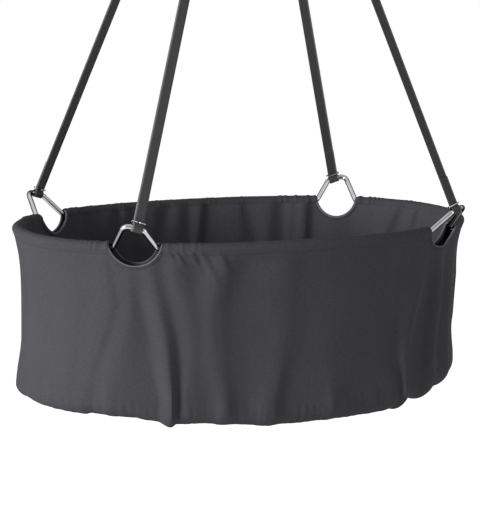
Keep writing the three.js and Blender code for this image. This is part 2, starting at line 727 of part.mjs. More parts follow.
function hookBodyGeometry() {
  const at = (y, z) => new THREE.Vector3(0, y, z);
  const stations = bentStations([
    { point: at(-HOOK_BOW, UPPER_NOSE_Z) },
    { point: at(-HOOK_BOW, HOOK_ROD / 2), bend: HOOK_BOW },
    { point: at(HOOK_BOW, HOOK_ROD / 2), bend: HOOK_BOW },
    { point: at(HOOK_BOW, HOOK_LOW_BOW_Z), bend: HOOK_BOW },
    { point: at(-HOOK_BOW, HOOK_LOW_BOW_Z), bend: HOOK_BOW },
    { point: at(-HOOK_BOW, LOWER_NOSE_Z) },
  ]);
  const rod = sweep(disc(HOOK_ROD / 2), stations, new THREE.Vector3(1, 0, 0), ROD_SIDES);
  const tongueTop = GATE_PIVOT_Z + GATE_DIAMETER / 2;
  const tongueRoot = LOWER_NOSE_Z - HOOK_NOSE / 2;
  const tongue = block(
    GATE_TONGUE,
    GATE_TONGUE_DEPTH,
    tongueTop - tongueRoot,
    at(-HOOK_BOW, (tongueTop + tongueRoot) / 2),
  );
  const pinHole = pivotBar(GATE_PIN_DIAMETER / 2 + FIT_GAP, HOOK_ROD);
  return cut(joined([rod, tongue]), [pinHole]);
}

function gateGeometry() {
  const top = UPPER_NOSE_Z - GATE_CLEARANCE;
  const radius = GATE_DIAMETER / 2;
  const shaft = new THREE.CylinderGeometry(radius, radius, top - GATE_PIVOT_Z, PIN_SIDES).rotateX(Math.PI / 2);
  shaft.translate(0, -HOOK_BOW, (top + GATE_PIVOT_Z) / 2);
  const slotWidth = GATE_TONGUE + 2 * GATE_CLEARANCE;
  const slotTop = GATE_PIVOT_Z + Math.hypot(radius, radius - GATE_TONGUE / 2) + GATE_CLEARANCE;
  const slotFoot = GATE_PIVOT_Z - GATE_DIAMETER;
  const slotCentre = new THREE.Vector3(0, -HOOK_BOW, (slotTop + slotFoot) / 2);
  const slot = block(slotWidth, 2 * GATE_DIAMETER, slotTop - slotFoot, slotCentre);
  const cheeks = pivotBar(radius, slotWidth + 2 * GATE_CHEEK);
  return cut(joined([shaft, cheeks]), [slot, pivotBar(GATE_PIN_DIAMETER / 2 + FIT_GAP, 2 * GATE_DIAMETER)]);
}

addPiece('hook_body', hookBodyGeometry(), steel);
addPiece('hook_gate', gateGeometry(), steel);
addPiece('hook_gate_pin', pivotBar(GATE_PIN_DIAMETER / 2, GATE_DIAMETER - 2 * FIT_GAP), steel);

for (const corner of corners) {
  addPiece(`wire_hanger_${corner.name}`, hangerGeometry(corner), steel);
  addPiece(`strap_${corner.name}`, strapGeometry(corner), webbing);
  addPiece(`wire_keeper_${corner.name}`, keeperGeometry(corner), steel);
}

for (const run of rimRuns) {
  addPiece(`rim_tube_${run.name}`, tubeGeometry(run), tubeSteel);
  addPiece(`rim_hem_${run.name}`, hemGeometry(run), canvas);
}

addPiece('outer_wall', wallGeometry(outerProfile, FOLD_DEPTH), canvas);
addPiece('lining_wall', wallGeometry(liningProfile, LINING_FOLD_DEPTH), canvas);
addPiece('outer_floor', plateGeometry(FIT_GAP - outerProfile.at(-1).offset, CANVAS_THICKNESS, UNDERSIDE_Z), canvas);
addPiece('base_board', plateGeometry(BOARD_INSET, BOARD_THICKNESS, BOARD_Z), plywood);
addPiece('lining_floor', plateGeometry(FIT_GAP - liningProfile.at(-1).offset, CANVAS_THICKNESS, LINING_FLOOR_Z), canvas);
addPiece('mattress', mattressGeometry(), mattressCloth);
addPiece('top_hanger', topHangerGeometry(), steel);

export default cradle;
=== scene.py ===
"""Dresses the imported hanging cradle: canvas basket, webbing straps, wire hangers and mattress."""

import json
import math

import bmesh
import bpy
import numpy as np
from mathutils import Matrix, Vector
from mathutils.bvhtree import BVHTree


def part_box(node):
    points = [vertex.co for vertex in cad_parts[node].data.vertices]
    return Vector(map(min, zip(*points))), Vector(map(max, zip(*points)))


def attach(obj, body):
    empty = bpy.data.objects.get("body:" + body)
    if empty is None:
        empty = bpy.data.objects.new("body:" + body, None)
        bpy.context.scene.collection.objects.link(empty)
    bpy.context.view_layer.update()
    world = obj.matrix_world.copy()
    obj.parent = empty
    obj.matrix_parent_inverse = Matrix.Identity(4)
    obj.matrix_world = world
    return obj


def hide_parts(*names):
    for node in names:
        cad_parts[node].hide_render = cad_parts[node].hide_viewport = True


bl_info = {
    "name": "Hanging Cradle",
    "version": (1, 0, 0),
    "blender": (4, 5, 0),
    "location": "View3D > Sidebar > Cradle",
    "description": "Canvas, webbing and wire of a hanging baby cradle",
    "category": "Object",
}

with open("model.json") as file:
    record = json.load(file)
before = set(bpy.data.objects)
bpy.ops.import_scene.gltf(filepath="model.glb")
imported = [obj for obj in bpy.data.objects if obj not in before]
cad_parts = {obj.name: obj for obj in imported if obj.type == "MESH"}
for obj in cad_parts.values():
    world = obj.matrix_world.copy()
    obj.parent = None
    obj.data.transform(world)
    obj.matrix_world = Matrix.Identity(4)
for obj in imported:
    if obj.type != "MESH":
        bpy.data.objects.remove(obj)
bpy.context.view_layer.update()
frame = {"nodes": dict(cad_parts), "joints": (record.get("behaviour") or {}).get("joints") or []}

# Sizes read from the frame, in metres
SIDE_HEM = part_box("rim_hem_back")
END_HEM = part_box("rim_hem_right")
HEM_RADIUS = (SIDE_HEM[1].z - SIDE_HEM[0].z) / 2
RIM_Z = (SIDE_HEM[1].z + SIDE_HEM[0].z) / 2
HALF_LENGTH = END_HEM[1].x - HEM_RADIUS
HALF_WIDTH = SIDE_HEM[1].y - HEM_RADIUS
LOWEST_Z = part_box("outer_wall")[0].z
MATTRESS_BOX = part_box("mattress")
HOOK_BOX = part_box("hook_body")
JOINTS = {joint["name"]: joint for joint in frame["joints"]}
TOP_BAR_Z = JOINTS["swing_sideways"]["pos_m"][2]
HOOK_LOW_Z = JOINTS["swing_lengthwise"]["pos_m"][2]
GATE_PIVOT = Vector(JOINTS["gate_open"]["pos_m"])

# Shape of the rim, and how far round it the first notch is
OVAL_EXPONENT = 2.2
NOTCH_ANGLE = math.radians(46.5)

# Between a hanger's feet, from a foot to its tube's mouth, and from a bar to where a strap's loop closes
HANGER_SPAN = 0.073
TUBE_SETBACK = 0.0105
LOOP_NECK = 0.0086

# The corners: angle round the oval, the way to the long side's middle, and the strap's place on the top bar
CORNERS = {
    "back_right": {"angle": NOTCH_ANGLE, "inward": 1, "place": 0.5},
    "back_left": {"angle": math.pi - NOTCH_ANGLE, "inward": -1, "place": -1.5},
    "front_left": {"angle": math.pi + NOTCH_ANGLE, "inward": 1, "place": -0.5},
    "front_right": {"angle": 2 * math.pi - NOTCH_ANGLE, "inward": -1, "place": 1.5},
}

# The parts of the rim between two corners
RUNS = {
    "back": ("back_right", "back_left"),
    "left": ("back_left", "front_left"),
    "front": ("front_left", "front_right"),
    "right": ("front_right", "back_right"),
}

# The photograph's camera, placed from the middle of the rim
PHOTO_HEIGHT = 528
CAMERA_PLACE = (-1.7887, -3.6877, 0.6034)
CAMERA_YAW = math.radians(25.82)
CAMERA_PITCH = math.radians(9.36)
CAMERA_ROLL = math.radians(0.70)
CAMERA_FOCUS_PIXELS = 2390.6
SENSOR_WIDTH = 36.0

UP = np.array([0.0, 0.0, 1.0])


class BasketSizes(bpy.types.PropertyGroup):
    """Sizes of the canvas basket"""

    canvas: bpy.props.FloatProperty(
        name="Canvas", description="Thickness of the canvas", default=0.0012, unit="LENGTH"
    )
    base_bow: bpy.props.FloatProperty(
        name="Base bow", description="How much lower the base hangs at mid length",
        default=0.019, unit="LENGTH",
    )
    edge_sag: bpy.props.FloatProperty(
        name="Edge sag", description="How far the gathered edge droops below the base",
        default=0.0115, unit="LENGTH",
    )
    corner: bpy.props.FloatProperty(
        name="Corner", description="Radius between wall and base", default=0.027, unit="LENGTH"
    )
    waist: bpy.props.FloatProperty(
        name="Waist", description="How far the wall is drawn in at half height", default=0.0074, unit="LENGTH"
    )
    hem_drop: bpy.props.FloatProperty(
        name="Hem drop", description="Rim to the hem's outer stitched edge", default=0.011, unit="LENGTH"
    )
    inner_drop: bpy.props.FloatProperty(
        name="Inner drop", description="Rim to the hem's inner edge", default=0.004, unit="LENGTH"
    )
    notch_width: bpy.props.FloatProperty(
        name="Notch width", description="Across the outer canvas's notch at its mouth",
        default=0.086, unit="LENGTH",
    )
    inner_notch_width: bpy.props.FloatProperty(
        name="Inner notch width", description="Across the lining's notch at its mouth",
        default=0.073, unit="LENGTH",
    )
    notch_depth: bpy.props.FloatProperty(
        name="Notch depth", description="Top of the hem to the outer notch's foot",
        default=0.0375, unit="LENGTH",
    )
    inner_notch_depth: bpy.props.FloatProperty(
        name="Inner notch depth", description="Top of the hem to the lining notch's foot",
        default=0.035, unit="LENGTH",
    )
    facing: bpy.props.FloatProperty(
        name="Facing", description="Width of the band round a notch", default=0.006, unit="LENGTH"
    )


class HangerSizes(bpy.types.PropertyGroup):
    """Sizes of the wire hangers, the straps and what they hang from"""

    rod: bpy.props.FloatProperty(
        name="Rod", description="Diameter of the steel rod", default=0.009, unit="LENGTH"
    )
    lean: bpy.props.FloatProperty(
        name="Lean", description="Outward from upright", default=math.radians(43), subtype="ANGLE"
    )
    leg: bpy.props.FloatProperty(
        name="Leg", description="Between a leg and the rim", default=math.radians(68), subtype="ANGLE"
    )
    bar_rise: bpy.props.FloatProperty(
        name="Bar rise", description="Rim to the middle of the sloping bar", default=0.050, unit="LENGTH"
    )
    bar_shift: bpy.props.FloatProperty(
        name="Bar shift", description="Of the bar toward the long side's middle",
        default=0.0075, unit="LENGTH",
    )
    bar_tilt: bpy.props.FloatProperty(
        name="Bar tilt", description="Past square to the strap's pull",
        default=math.radians(7), subtype="ANGLE",
    )
    webbing_width: bpy.props.FloatProperty(
        name="Webbing width", description="Width of the straps", default=0.018, unit="LENGTH"
    )
    webbing: bpy.props.FloatProperty(
        name="Webbing", description="Thickness of the straps", default=0.0015, unit="LENGTH"
    )
    sewn: bpy.props.FloatProperty(
        name="Sewn length", description="Bar to the end of a strap's doubled part",
        default=0.06, unit="LENGTH",
    )


class CradleColours(bpy.types.PropertyGroup):
    """Colours of the cradle's finishes"""

    canvas: bpy.props.FloatVectorProperty(
        name="Canvas", description="Charcoal cotton canvas", default=(0.066, 0.0645, 0.0725), subtype="COLOR"
    )
    webbing: bpy.props.FloatVectorProperty(
        name="Webbing", description="Grey woven webbing", default=(0.074, 0.074, 0.076), subtype="COLOR"
    )
    steel: bpy.props.FloatVectorProperty(
        name="Steel", description="Polished steel rod", default=(0.60, 0.60, 0.61), subtype="COLOR"
    )
    mattress: bpy.props.FloatVectorProperty(
        name="Mattress", description="Cotton over the mattress", default=(0.76, 0.74, 0.69), subtype="COLOR"
    )


# Mesh building

def smooth(share):
    """Eases from 0 to 1: s squared times (3 - 2 s)."""
    share = np.clip(share, 0.0, 1.0)
    return share * share * (3.0 - 2.0 * share)


def unit(vectors):
    """Vectors divided by their lengths."""
    return vectors / np.linalg.norm(vectors, axis=-1, keepdims=True)


def path_lengths(path):
    """Length walked along a row of points, from 0 at the first."""
    return np.concatenate([[0.0], np.cumsum(np.linalg.norm(np.diff(path, axis=0), axis=1))])


def open_tangents(path):
    """Unit tangents of an open path: at each inner point the mean way of the steps before and after it."""
    step = unit(np.diff(path, axis=0))
    return unit(np.concatenate([step[:1], step[:-1] + step[1:], step[-1:]]))


def add_object(name, data):
    """A new object in the scene."""
    made = bpy.data.objects.new(name, data)
    bpy.context.scene.collection.objects.link(made)
    return made


def vertex_places(made):
    """An object's vertex coordinates, one row for each."""
    places = np.zeros(len(made.data.vertices) * 3, np.float32)
    made.data.vertices.foreach_get("co", places)
    return places.reshape(-1, 3)


def grid_object(name, points, across=None, along=None, wrap_rows=False, wrap_columns=False, caps=False):
    """An object over a grid of points, rows by columns.

    A face's normal is its row step crossed with its column step. across and along give the UV map's two
    coordinates of each column and row, in metres.
    """
    rows, columns = points.shape[:2]
    row_count = rows if wrap_rows else rows - 1
    column_count = columns if wrap_columns else columns - 1
    row, column = np.meshgrid(np.arange(row_count), np.arange(column_count), indexing="ij")
    corner_rows = np.stack([row, row + 1, row + 1, row], axis=-1).reshape(-1, 4)
    corner_columns = np.stack([column, column, column + 1, column + 1], axis=-1).reshape(-1, 4)
    faces = (corner_rows % rows) * columns + corner_columns % columns
    face_list = faces.tolist()
    if caps:
        face_list.append(list(range(columns)))
        face_list.append([(rows - 1) * columns + place for place in reversed(range(columns))])
    mesh = bpy.data.meshes.new(name)
    mesh.from_pydata(points.reshape(-1, 3).tolist(), [], face_list)
    if across is not None:
        layer = mesh.uv_layers.new(name="UVMap")
        coordinates = np.stack([across[corner_columns], along[corner_rows]], axis=-1).reshape(-1, 2)
        filled = np.zeros((len(mesh.loops), 2), np.float32)
        filled[: len(coordinates)] = coordinates
        layer.data.foreach_set("uv", filled.ravel())
    mesh.shade_smooth()
    mesh.validate()
    return add_object(name, mesh)


def apply_modifiers(made):
    """Replaces an object's mesh by what its modifiers make of it."""
    depsgraph = bpy.context.evaluated_depsgraph_get()
    mesh = bpy.data.meshes.new_from_object(made.evaluated_get(depsgraph))
    made.modifiers.clear()
    made.data = mesh


def thicken(made, thickness, offset=-1.0):
    """Gives a sheet its thickness: at offset -1 on the side away from its normals, at 0 half on each side."""
    solid = made.modifiers.new("Thickness", "SOLIDIFY")
    solid.thickness = thickness
    solid.offset = offset
    solid.use_even_offset = False
    apply_modifiers(made)


def weld(made, distance=0.0001):
    """Joins points that lie together, such as rings drawn in to one place."""
    joined = made.modifiers.new("Weld", "WELD")
    joined.merge_threshold = distance
    apply_modifiers(made)


def cut_away(made, cutters):
    """Subtracts closed cutters from a closed object and deletes them."""
    for cutter in cutters:
        difference = made.modifiers.new("Cut", "BOOLEAN")
        difference.operation = "DIFFERENCE"
        difference.solver = "MANIFOLD"
        difference.object = cutter
    apply_modifiers(made)
    made.data.shade_smooth()
    made.data.set_sharp_from_angle(angle=math.radians(38))
    for cutter in cutters:
        bpy.data.objects.remove(cutter)


def finish_piece(made, material, body, replaced=()):
    """Gives a piece its material, its body and the nodes that it stands for."""
    made.data.materials.clear()
    made.data.materials.append(material)
    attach(made, body)
    if replaced:
        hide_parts(*replaced)
    return made


def puff(made, voxel, pressure, cap, frames=20):
    """Swells a padded piece as cloth under inner pressure, without gravity, moving no point past cap."""
    remesh = made.modifiers.new("Remesh", "REMESH")
    remesh.mode = "VOXEL"
    remesh.voxel_size = voxel
    apply_modifiers(made)
    start = vertex_places(made)
    cloth = made.modifiers.new("Cloth", "CLOTH")
    cloth.settings.use_pressure = True
    cloth.settings.uniform_pressure_force = pressure
    cloth.settings.effector_weights.gravity = 0.0
    cloth.point_cache.frame_start, cloth.point_cache.frame_end = 1, frames
    for frame_number in range(1, frames + 1):
        bpy.context.scene.frame_set(frame_number)
    apply_modifiers(made)
    bpy.context.scene.frame_set(1)
    move = vertex_places(made) - start
    length = np.linalg.norm(move, axis=1, keepdims=True)
    move *= np.minimum(1.0, cap / np.maximum(length, 1e-9))
    made.data.vertices.foreach_set("co", (start + move).ravel())


# Wires

def bent_path(corners, bends, step=math.radians(9)):
    """Points of a wire through corners, each inner corner rounded with its own radius.

    The arc starts bend times tan(turn / 2) before the corner, and turns about the corner's normal.
    """
    points = [corners[0]]
    for place, bend in enumerate(bends, start=1):
        corner = corners[place]
        coming = (corner - corners[place - 1]).normalized()
        going = (corners[place + 1] - corner).normalized()
        turn = coming.angle(going)
        axis = coming.cross(going).normalized()
        start = corner - coming * bend * math.tan(turn / 2)
        centre = start + axis.cross(coming) * bend
        count = max(2, math.ceil(turn / step))
        for index in range(count + 1):
            spoke = Matrix.Rotation(turn * index / count, 3, axis) @ (start - centre)
            points.append(centre + spoke)
    points.append(corners[-1])
    return np.array([tuple(point) for point in points])


def round_wire(name, path, radius, normal, sides=20, closed=False):
    """A round wire: at each station p + radius (cos a n + sin a (t cross n)), with t along the path."""
    if closed:
        tangent = unit(unit(path - np.roll(path, 1, axis=0)) + unit(np.roll(path, -1, axis=0) - path))
    else:
        tangent = open_tangents(path)
    reference = np.broadcast_to(np.array(normal, float), path.shape)
    side = unit(reference - tangent * np.sum(reference * tangent, axis=1, keepdims=True))
    other = np.cross(tangent, side)
    angle = np.linspace(0.0, 2 * math.pi, sides, endpoint=False)[None, :, None]
    points = path[:, None] + radius * (np.cos(angle) * side[:, None] + np.sin(angle) * other[:, None])
    points = points[:, ::-1]
    length = path_lengths(path)
    if closed:
        length = np.append(length, length[-1] + np.linalg.norm(path[0] - path[-1]))
    across = np.linspace(0.0, 2 * math.pi * radius, sides + 1)
    return grid_object(name, points, across, length, wrap_rows=closed, wrap_columns=True, caps=not closed)


# The oval

def oval(angle):
    """The rim's centre line: (a |cos t|^(2/n), b |sin t|^(2/n)) with the signs of cos t and sin t."""
    cosine, sine = np.cos(angle), np.sin(angle)
    x = HALF_LENGTH * np.sign(cosine) * np.abs(cosine) ** (2 / OVAL_EXPONENT)
    y = HALF_WIDTH * np.sign(sine) * np.abs(sine) ** (2 / OVAL_EXPONENT)
    return np.stack([x, y, np.full_like(x, RIM_Z)], axis=-1)


def outward(angle):
    """The oval's outward direction, the gradient of |x/a|^n + |y/b|^n."""
    x, y = oval(angle)[..., 0], oval(angle)[..., 1]
    slope_x = np.sign(x) * np.abs(x / HALF_LENGTH) ** (OVAL_EXPONENT - 1) / HALF_LENGTH
    slope_y = np.sign(y) * np.abs(y / HALF_WIDTH) ** (OVAL_EXPONENT - 1) / HALF_WIDTH
    return unit(np.stack([slope_x, slope_y, np.zeros_like(slope_x)], axis=-1))


def beside_rim(angle, offset, z):
    """The oval's point moved by offset along its outward direction, at height z."""
    point = oval(angle) + outward(angle) * np.asarray(offset)[..., None]
    point[..., 2] = z
    return point


WALK_ANGLES = np.linspace(-math.pi, 3 * math.pi, 16001)
WALK_LENGTHS = path_lengths(oval(WALK_ANGLES))
WALK_LENGTHS -= np.interp(0.0, WALK_ANGLES, WALK_LENGTHS)
PERIMETER = np.interp(2 * math.pi, WALK_ANGLES, WALK_LENGTHS)


def walk_of(angle):
    """Length of rim from angle 0, in metres."""
    return np.interp(angle, WALK_ANGLES, WALK_LENGTHS)


def angle_at(walk):
    """The oval's parameter at a length of rim from angle 0."""
    return np.interp(walk, WALK_LENGTHS, WALK_ANGLES)


def walked(angle, distance):
    """The parameter at a walk along the rim from another one."""
    return float(angle_at(walk_of(angle) + distance))


def even_angles(count):
    """Parameters at even steps of walk round the whole rim."""
    return angle_at(np.arange(count) * PERIMETER / count)


# Folds of the canvas

# Height of a fold whose share is 1, over what share of the wall it grows to that, and how deep valleys get
FOLD_HEIGHT = 0.010
FOLD_START_SHARE = 0.12
DEEPEST_VALLEY = 0.0062

# The lining's folds beside the outer ones, and how far it stands in from its plain form
LINING_FOLD_SHARE = 0.50
LINING_STAND_IN = 0.0030

# Slow waves of both walls: draws and height, the lining's share and shift, and how many waves go round
OUTER_WAVES = {"seed": 4, "height": 0.0006}
LINING_WAVES = {"seed": 29, "height": 0.0012}
LINING_WAVE_SHARE = 0.3
LINING_WAVE_SHIFT_SHARE = 0.4
WAVE_COUNTS = (5, 8, 11, 15, 21)

# The shares of the wall's height at which most lines are given
LEVEL_SHARES = (0.15, 0.34, 0.53, 0.73, 0.92)

# Between which shares of the fold height the lines that the photograph doesn't show are drawn at random
UNSEEN_HEIGHT_SHARES = (0.15, 0.5)


def fold_line(*places, levels=LEVEL_SHARES):
    """A crest or valley line: level, degrees round the oval and share of the fold height of each place."""
    return tuple((level, *place) for level, place in zip(levels, places, strict=True))


# Crest and valley lines of the outer canvas in front, from the left end to the right end, as the photograph
# shows them. Each place: degrees round the oval, share of the fold height
FRONT_LINE_SHARES = (
    fold_line((190.0, 0.0), (190.0, 0.0), levels=(0.1, 1.0)),
    fold_line((203.0, 0.1), (201.0, 0.2), levels=(0.1, 1.0)),
    fold_line((210.0, 0.1), (205.0, 0.0), levels=(0.1, 1.0)),
    fold_line((216.8, 0.35), (219.0, 0.38), (216.8, 0.32), (213.0, 0.2), (209.5, 0.2)),
    fold_line((219.2, 0.15), (221.8, 0.22), (218.9, 0.12), (215.5, 0.06), (213.0, 0.05)),
    fold_line((223.5, 0.25), (225.0, 0.35), (224.2, 0.48), (220.8, 0.44), (218.6, 0.4)),
    fold_line((227.5, 0.12), (228.2, 0.0), (230.1, -0.1), (231.3, -0.22), (233.2, -0.38)),
    fold_line((231.0, 0.3), (232.9, 0.66), (235.0, 0.9), (236.1, 1.0), (237.0, 1.05)),
    fold_line((234.3, 0.0), (236.6, 0.1), (238.7, 0.02), (239.2, -0.2), (238.6, -0.2)),
    fold_line((237.6, 0.28), (240.2, 0.24), (242.2, 0.2), (242.2, 0.08), (240.6, 0.12)),
    fold_line((243.6, -0.4), (244.2, 0.06), (244.9, 0.1), (245.6, 0.0), (247.2, -0.3)),
    fold_line((249.6, 0.3), (247.6, 0.26), (247.4, 0.2), (248.6, 0.12), (250.6, 0.02)),
    fold_line((256.4, -0.7), (255.6, -0.75), (256.6, -0.85), (256.6, -0.85), (256.0, -0.75)),
    fold_line((265.2, 0.0), (264.8, -0.1), (265.2, -0.16), (264.4, 0.0), (262.6, 0.25)),
    fold_line((270.0, -0.3), (271.0, -0.4), (270.6, -0.5), (268.4, -0.55), (265.8, -0.45)),
    fold_line((278.0, -0.3), (276.5, -0.35), (276.5, -0.05), levels=(0.3, 0.7, 0.92)),
    fold_line((285.0, -0.3), (284.0, -0.35), (283.4, -0.35), levels=(0.3, 0.7, 0.92)),
    fold_line((291.0, -0.2), (292.2, -0.1), (293.4, 0.25), levels=(0.5, 0.8, 0.92)),
    fold_line((295.5, -0.1), (295.6, -0.2), (296.0, -0.35), levels=(0.5, 0.8, 0.92)),
    fold_line((304.6, 0.1), (304.4, 0.3), (301.2, 0.45), (298.6, 0.5), (297.6, 0.4)),
    fold_line((309.5, -0.15), (310.0, -0.6), (307.4, -1.0), (305.2, -1.3), (303.2, -1.1)),
    fold_line((314.0, 0.3), (314.6, 0.7), (313.4, 1.0), (311.4, 1.0), (309.0, 0.8)),
    fold_line((319.0, -0.05), (319.4, -0.2), (318.8, -0.3), (317.0, -0.45), (314.0, -0.4)),
    fold_line((326.0, 0.2), (325.0, 0.5), (321.5, 0.2), levels=(0.15, 0.53, 0.92)),
    fold_line((335.0, 0.0), (333.0, -0.1), (330.0, -0.9), levels=(0.15, 0.53, 0.92)),
    fold_line((345.0, 0.3), (343.5, 0.6), (342.0, 0.2), (341.0, -1.0), levels=(0.15, 0.4, 0.7, 0.92)),
)


def hidden_lines(count=20, first=6.0, step=9.0, lean=2.5, top_share=0.5):
    """Crest and valley lines of the canvas behind, in turn, where the photograph shows none."""
    chance = np.random.default_rng(41)
    levels = (LEVEL_SHARES[0], LEVEL_SHARES[-1])
    lines = []
    for place in range(count):
        degrees, height = first + step * place, chance.uniform(*UNSEEN_HEIGHT_SHARES) * (-1.0) ** place
        foot = (degrees + chance.uniform(-lean, lean), height)
        lines.append(fold_line((degrees, top_share * height), foot, levels=levels))
    return tuple(lines)


OUTER_LINE_SHARES = hidden_lines() + FRONT_LINE_SHARES

# Where a gather's run ends, over what share of it the gather fades, over what share it rises, and its valleys
GATHER_END_SHARE = 1.05
GATHER_FADE_SHARE = 0.7
GATHER_RISE_SHARE = 0.3
GATHER_VALLEY_SHARE = 0.5

# Short gathers that start at the rim: first and last place as degrees and share of height, width, height
RIM_GATHERS = (
    {"line": ((235.6, 0.0), (237.6, 0.09)), "width": 0.0026, "height": 0.0024},
    {"line": ((237.4, 0.0), (240.4, 0.12)), "width": 0.0030, "height": 0.0030},
    {"line": ((239.2, 0.0), (241.0, 0.07)), "width": 0.0024, "height": 0.0022},
    {"line": ((241.2, 0.0), (244.8, 0.15)), "width": 0.0036, "height": 0.0030},
    {"line": ((243.6, 0.0), (249.4, 0.25)), "width": 0.0056, "height": 0.0026},
    {"line": ((248.2, 0.0), (252.4, 0.20)), "width": 0.0060, "height": 0.0018},
    {"line": ((222.4, 0.125), (216.0, 0.20)), "width": 0.0032, "height": 0.0026},
    {"line": ((221.2, 0.10), (217.0, 0.135)), "width": 0.0028, "height": 0.0018},
    {"line": ((307.0, 0.0), (300.0, 0.24)), "width": 0.0050, "height": 0.0014},
)

# Where the bottom edge of the outer canvas bulges a little between its gathers, in degrees, and by what share
FRONT_BULGE_SHARES = (
    (188.0, 0.4), (195.5, 0.6), (204.8, 1.0), (209.5, 0.6), (219.0, 0.9), (229.0, 0.4), (251.0, 0.9),
    (260.0, 0.7), (275.5, 1.0), (287.0, 0.6), (297.8, 0.8), (306.5, 0.8), (312.0, 0.6), (320.0, 0.6),
    (338.0, 0.2),
)

# The bulges: where they begin, how far the canvas sinks between them, and how small ones beside the seam
# compare, where they begin, over what share they grow and how many go round
BULGE_START_SHARE = 0.80
BULGE_SUNK_SHARE = 0.4
SMALL_BULGE_SHARE = 0.22
SMALL_BULGE_START_SHARE = 0.95
SMALL_BULGE_RUN_SHARE = 0.05
SMALL_BULGE_COUNTS = (47, 67, 89)

# How far the bottom edge droops below the base: degrees, share of the sag
EDGE_SAG_SHARES = (
    (0.0, 0.35), (90.0, 0.5), (178.0, 0.62), (199.0, 0.36), (208.0, 0.2), (213.0, -0.2), (225.0, -0.2),
    (231.0, 0.25), (236.5, 0.62), (242.0, 0.36), (249.6, 0.42), (257.6, 0.78), (268.6, 1.0), (275.0, 0.85),
    (283.0, 1.05), (298.0, 1.0), (303.5, 0.45), (308.0, 0.5), (314.0, 0.1), (325.0, 0.1), (345.0, 0.25),
    (360.0, 0.35),
)

# Crest and valley lines of the lining on its far side, from the right end to the left end: degrees at the
# rim, degrees at a quarter of the wall's height, share of the fold height there
LINING_LINE_SHARES = (
    (2.0, 2.0, -0.3), (4.5, 5.5, 0.3), (7.0, 9.0, -0.3), (9.0, 11.0, 0.3), (10.6, 13.4, -0.4),
    (12.8, 17.2, 0.75), (19.0, 23.6, -0.6), (22.6, 28.2, 0.7), (33.0, 34.0, 0.0), (40.0, 40.0, -0.2),
    (47.0, 47.0, 0.15), (53.6, 54.0, -0.9), (57.2, 57.6, 0.8), (60.2, 61.6, 0.05), (63.6, 63.4, -0.6),
    (67.6, 68.6, 0.6), (74.2, 71.8, -0.35), (76.9, 76.4, 0.45), (84.6, 85.8, -0.6), (86.6, 87.8, 0.65),
    (89.2, 89.4, -0.3), (91.4, 92.2, 0.45), (93.6, 96.4, -0.55), (97.6, 99.6, 0.5), (103.4, 103.8, -0.4),
    (106.2, 106.8, 0.5), (108.2, 111.2, -0.4), (111.4, 114.4, 0.8), (115.0, 117.0, 0.0), (120.0, 122.4, -0.5),
    (122.6, 125.0, 0.35), (129.6, 130.6, -0.4),
)


def lining_lines(count=40, first=136.0, step=5.6, lean=2.0, rim_share=0.9, foot_share=0.6):
    """Crest and valley lines of the lining: those of its far side, then others in turn on its near side."""
    chance = np.random.default_rng(23)
    lines = []
    for top, low, height in LINING_LINE_SHARES:
        foot = (2 * low - top, foot_share * height)
        lines.append(fold_line((top, rim_share * height), (low, height), foot, levels=(0.0, 0.27, 1.0)))
    for place in range(count):
        degrees, height = first + step * place, chance.uniform(*UNSEEN_HEIGHT_SHARES) * (-1.0) ** place
        foot = (degrees + chance.uniform(-lean, lean), foot_share * height)
        lines.append(fold_line((degrees, height), foot, levels=(0.0, 1.0)))
    return tuple(lines)


ALL_LINING_LINES = lining_lines()


def eased(value, table):
    """From each place of a table to the next as h1 + (h2 - h1) smooth(run)."""
    places, heights = np.array(table).T
    index = np.clip(np.searchsorted(places, value) - 1, 0, len(places) - 2)
    run = (value - places[index]) / (places[index + 1] - places[index])
    return heights[index] + (heights[index + 1] - heights[index]) * smooth(run)


def around(walk, place):
    """Signed distance round the rim from a place to each walk, in metres."""
    return (walk - place + PERIMETER / 2) % PERIMETER - PERIMETER / 2


def crease(distance, width, sharpness=1.4):
    """A crest of height 1 that falls off as exp(-(d/w)^1.4), where w is its width."""
    return np.exp(-((np.abs(distance) / width) ** sharpness))


def between_lines(walk, share, lines):
    """Height of a sheet folded along lines: from one to the next it eases as h1 + (h2 - h1) smooth(run)."""
    columns = [np.array(line).T for line in lines]
    places = [walk_of(np.radians(np.interp(share, levels, degrees))) for levels, degrees, _ in columns]
    heights = [np.interp(share, levels, values) for levels, _, values in columns]
    places.append(places[0] + PERIMETER)
    heights.append(heights[0])
    place = places[0] + (walk - places[0]) % PERIMETER
    total = np.zeros(place.shape)
    for index in range(len(lines)):
        run = (place - places[index]) / (places[index + 1] - places[index])
        step = heights[index] + (heights[index + 1] - heights[index]) * smooth(run)
        total = np.where((run >= 0.0) & (run < 1.0), step, total)
    return FOLD_HEIGHT * total


def gather(walk, share, line, width, height):
    """A short slanting crease from one place to another, highest where it starts."""
    (start_degrees, start_share), (end_degrees, end_share) = line
    run = (share - start_share) / (end_share - start_share)
    degrees = start_degrees + (end_degrees - start_degrees) * np.clip(run, 0.0, 1.0)
    distance = around(walk, walk_of(np.radians(degrees)))
    size = smooth((GATHER_END_SHARE - run) / GATHER_FADE_SHARE) * smooth(run / GATHER_RISE_SHARE + 1.0)
    valley = GATHER_VALLEY_SHARE * crease(distance - 2 * width, width)
    return height * size * (crease(distance, width) - valley)


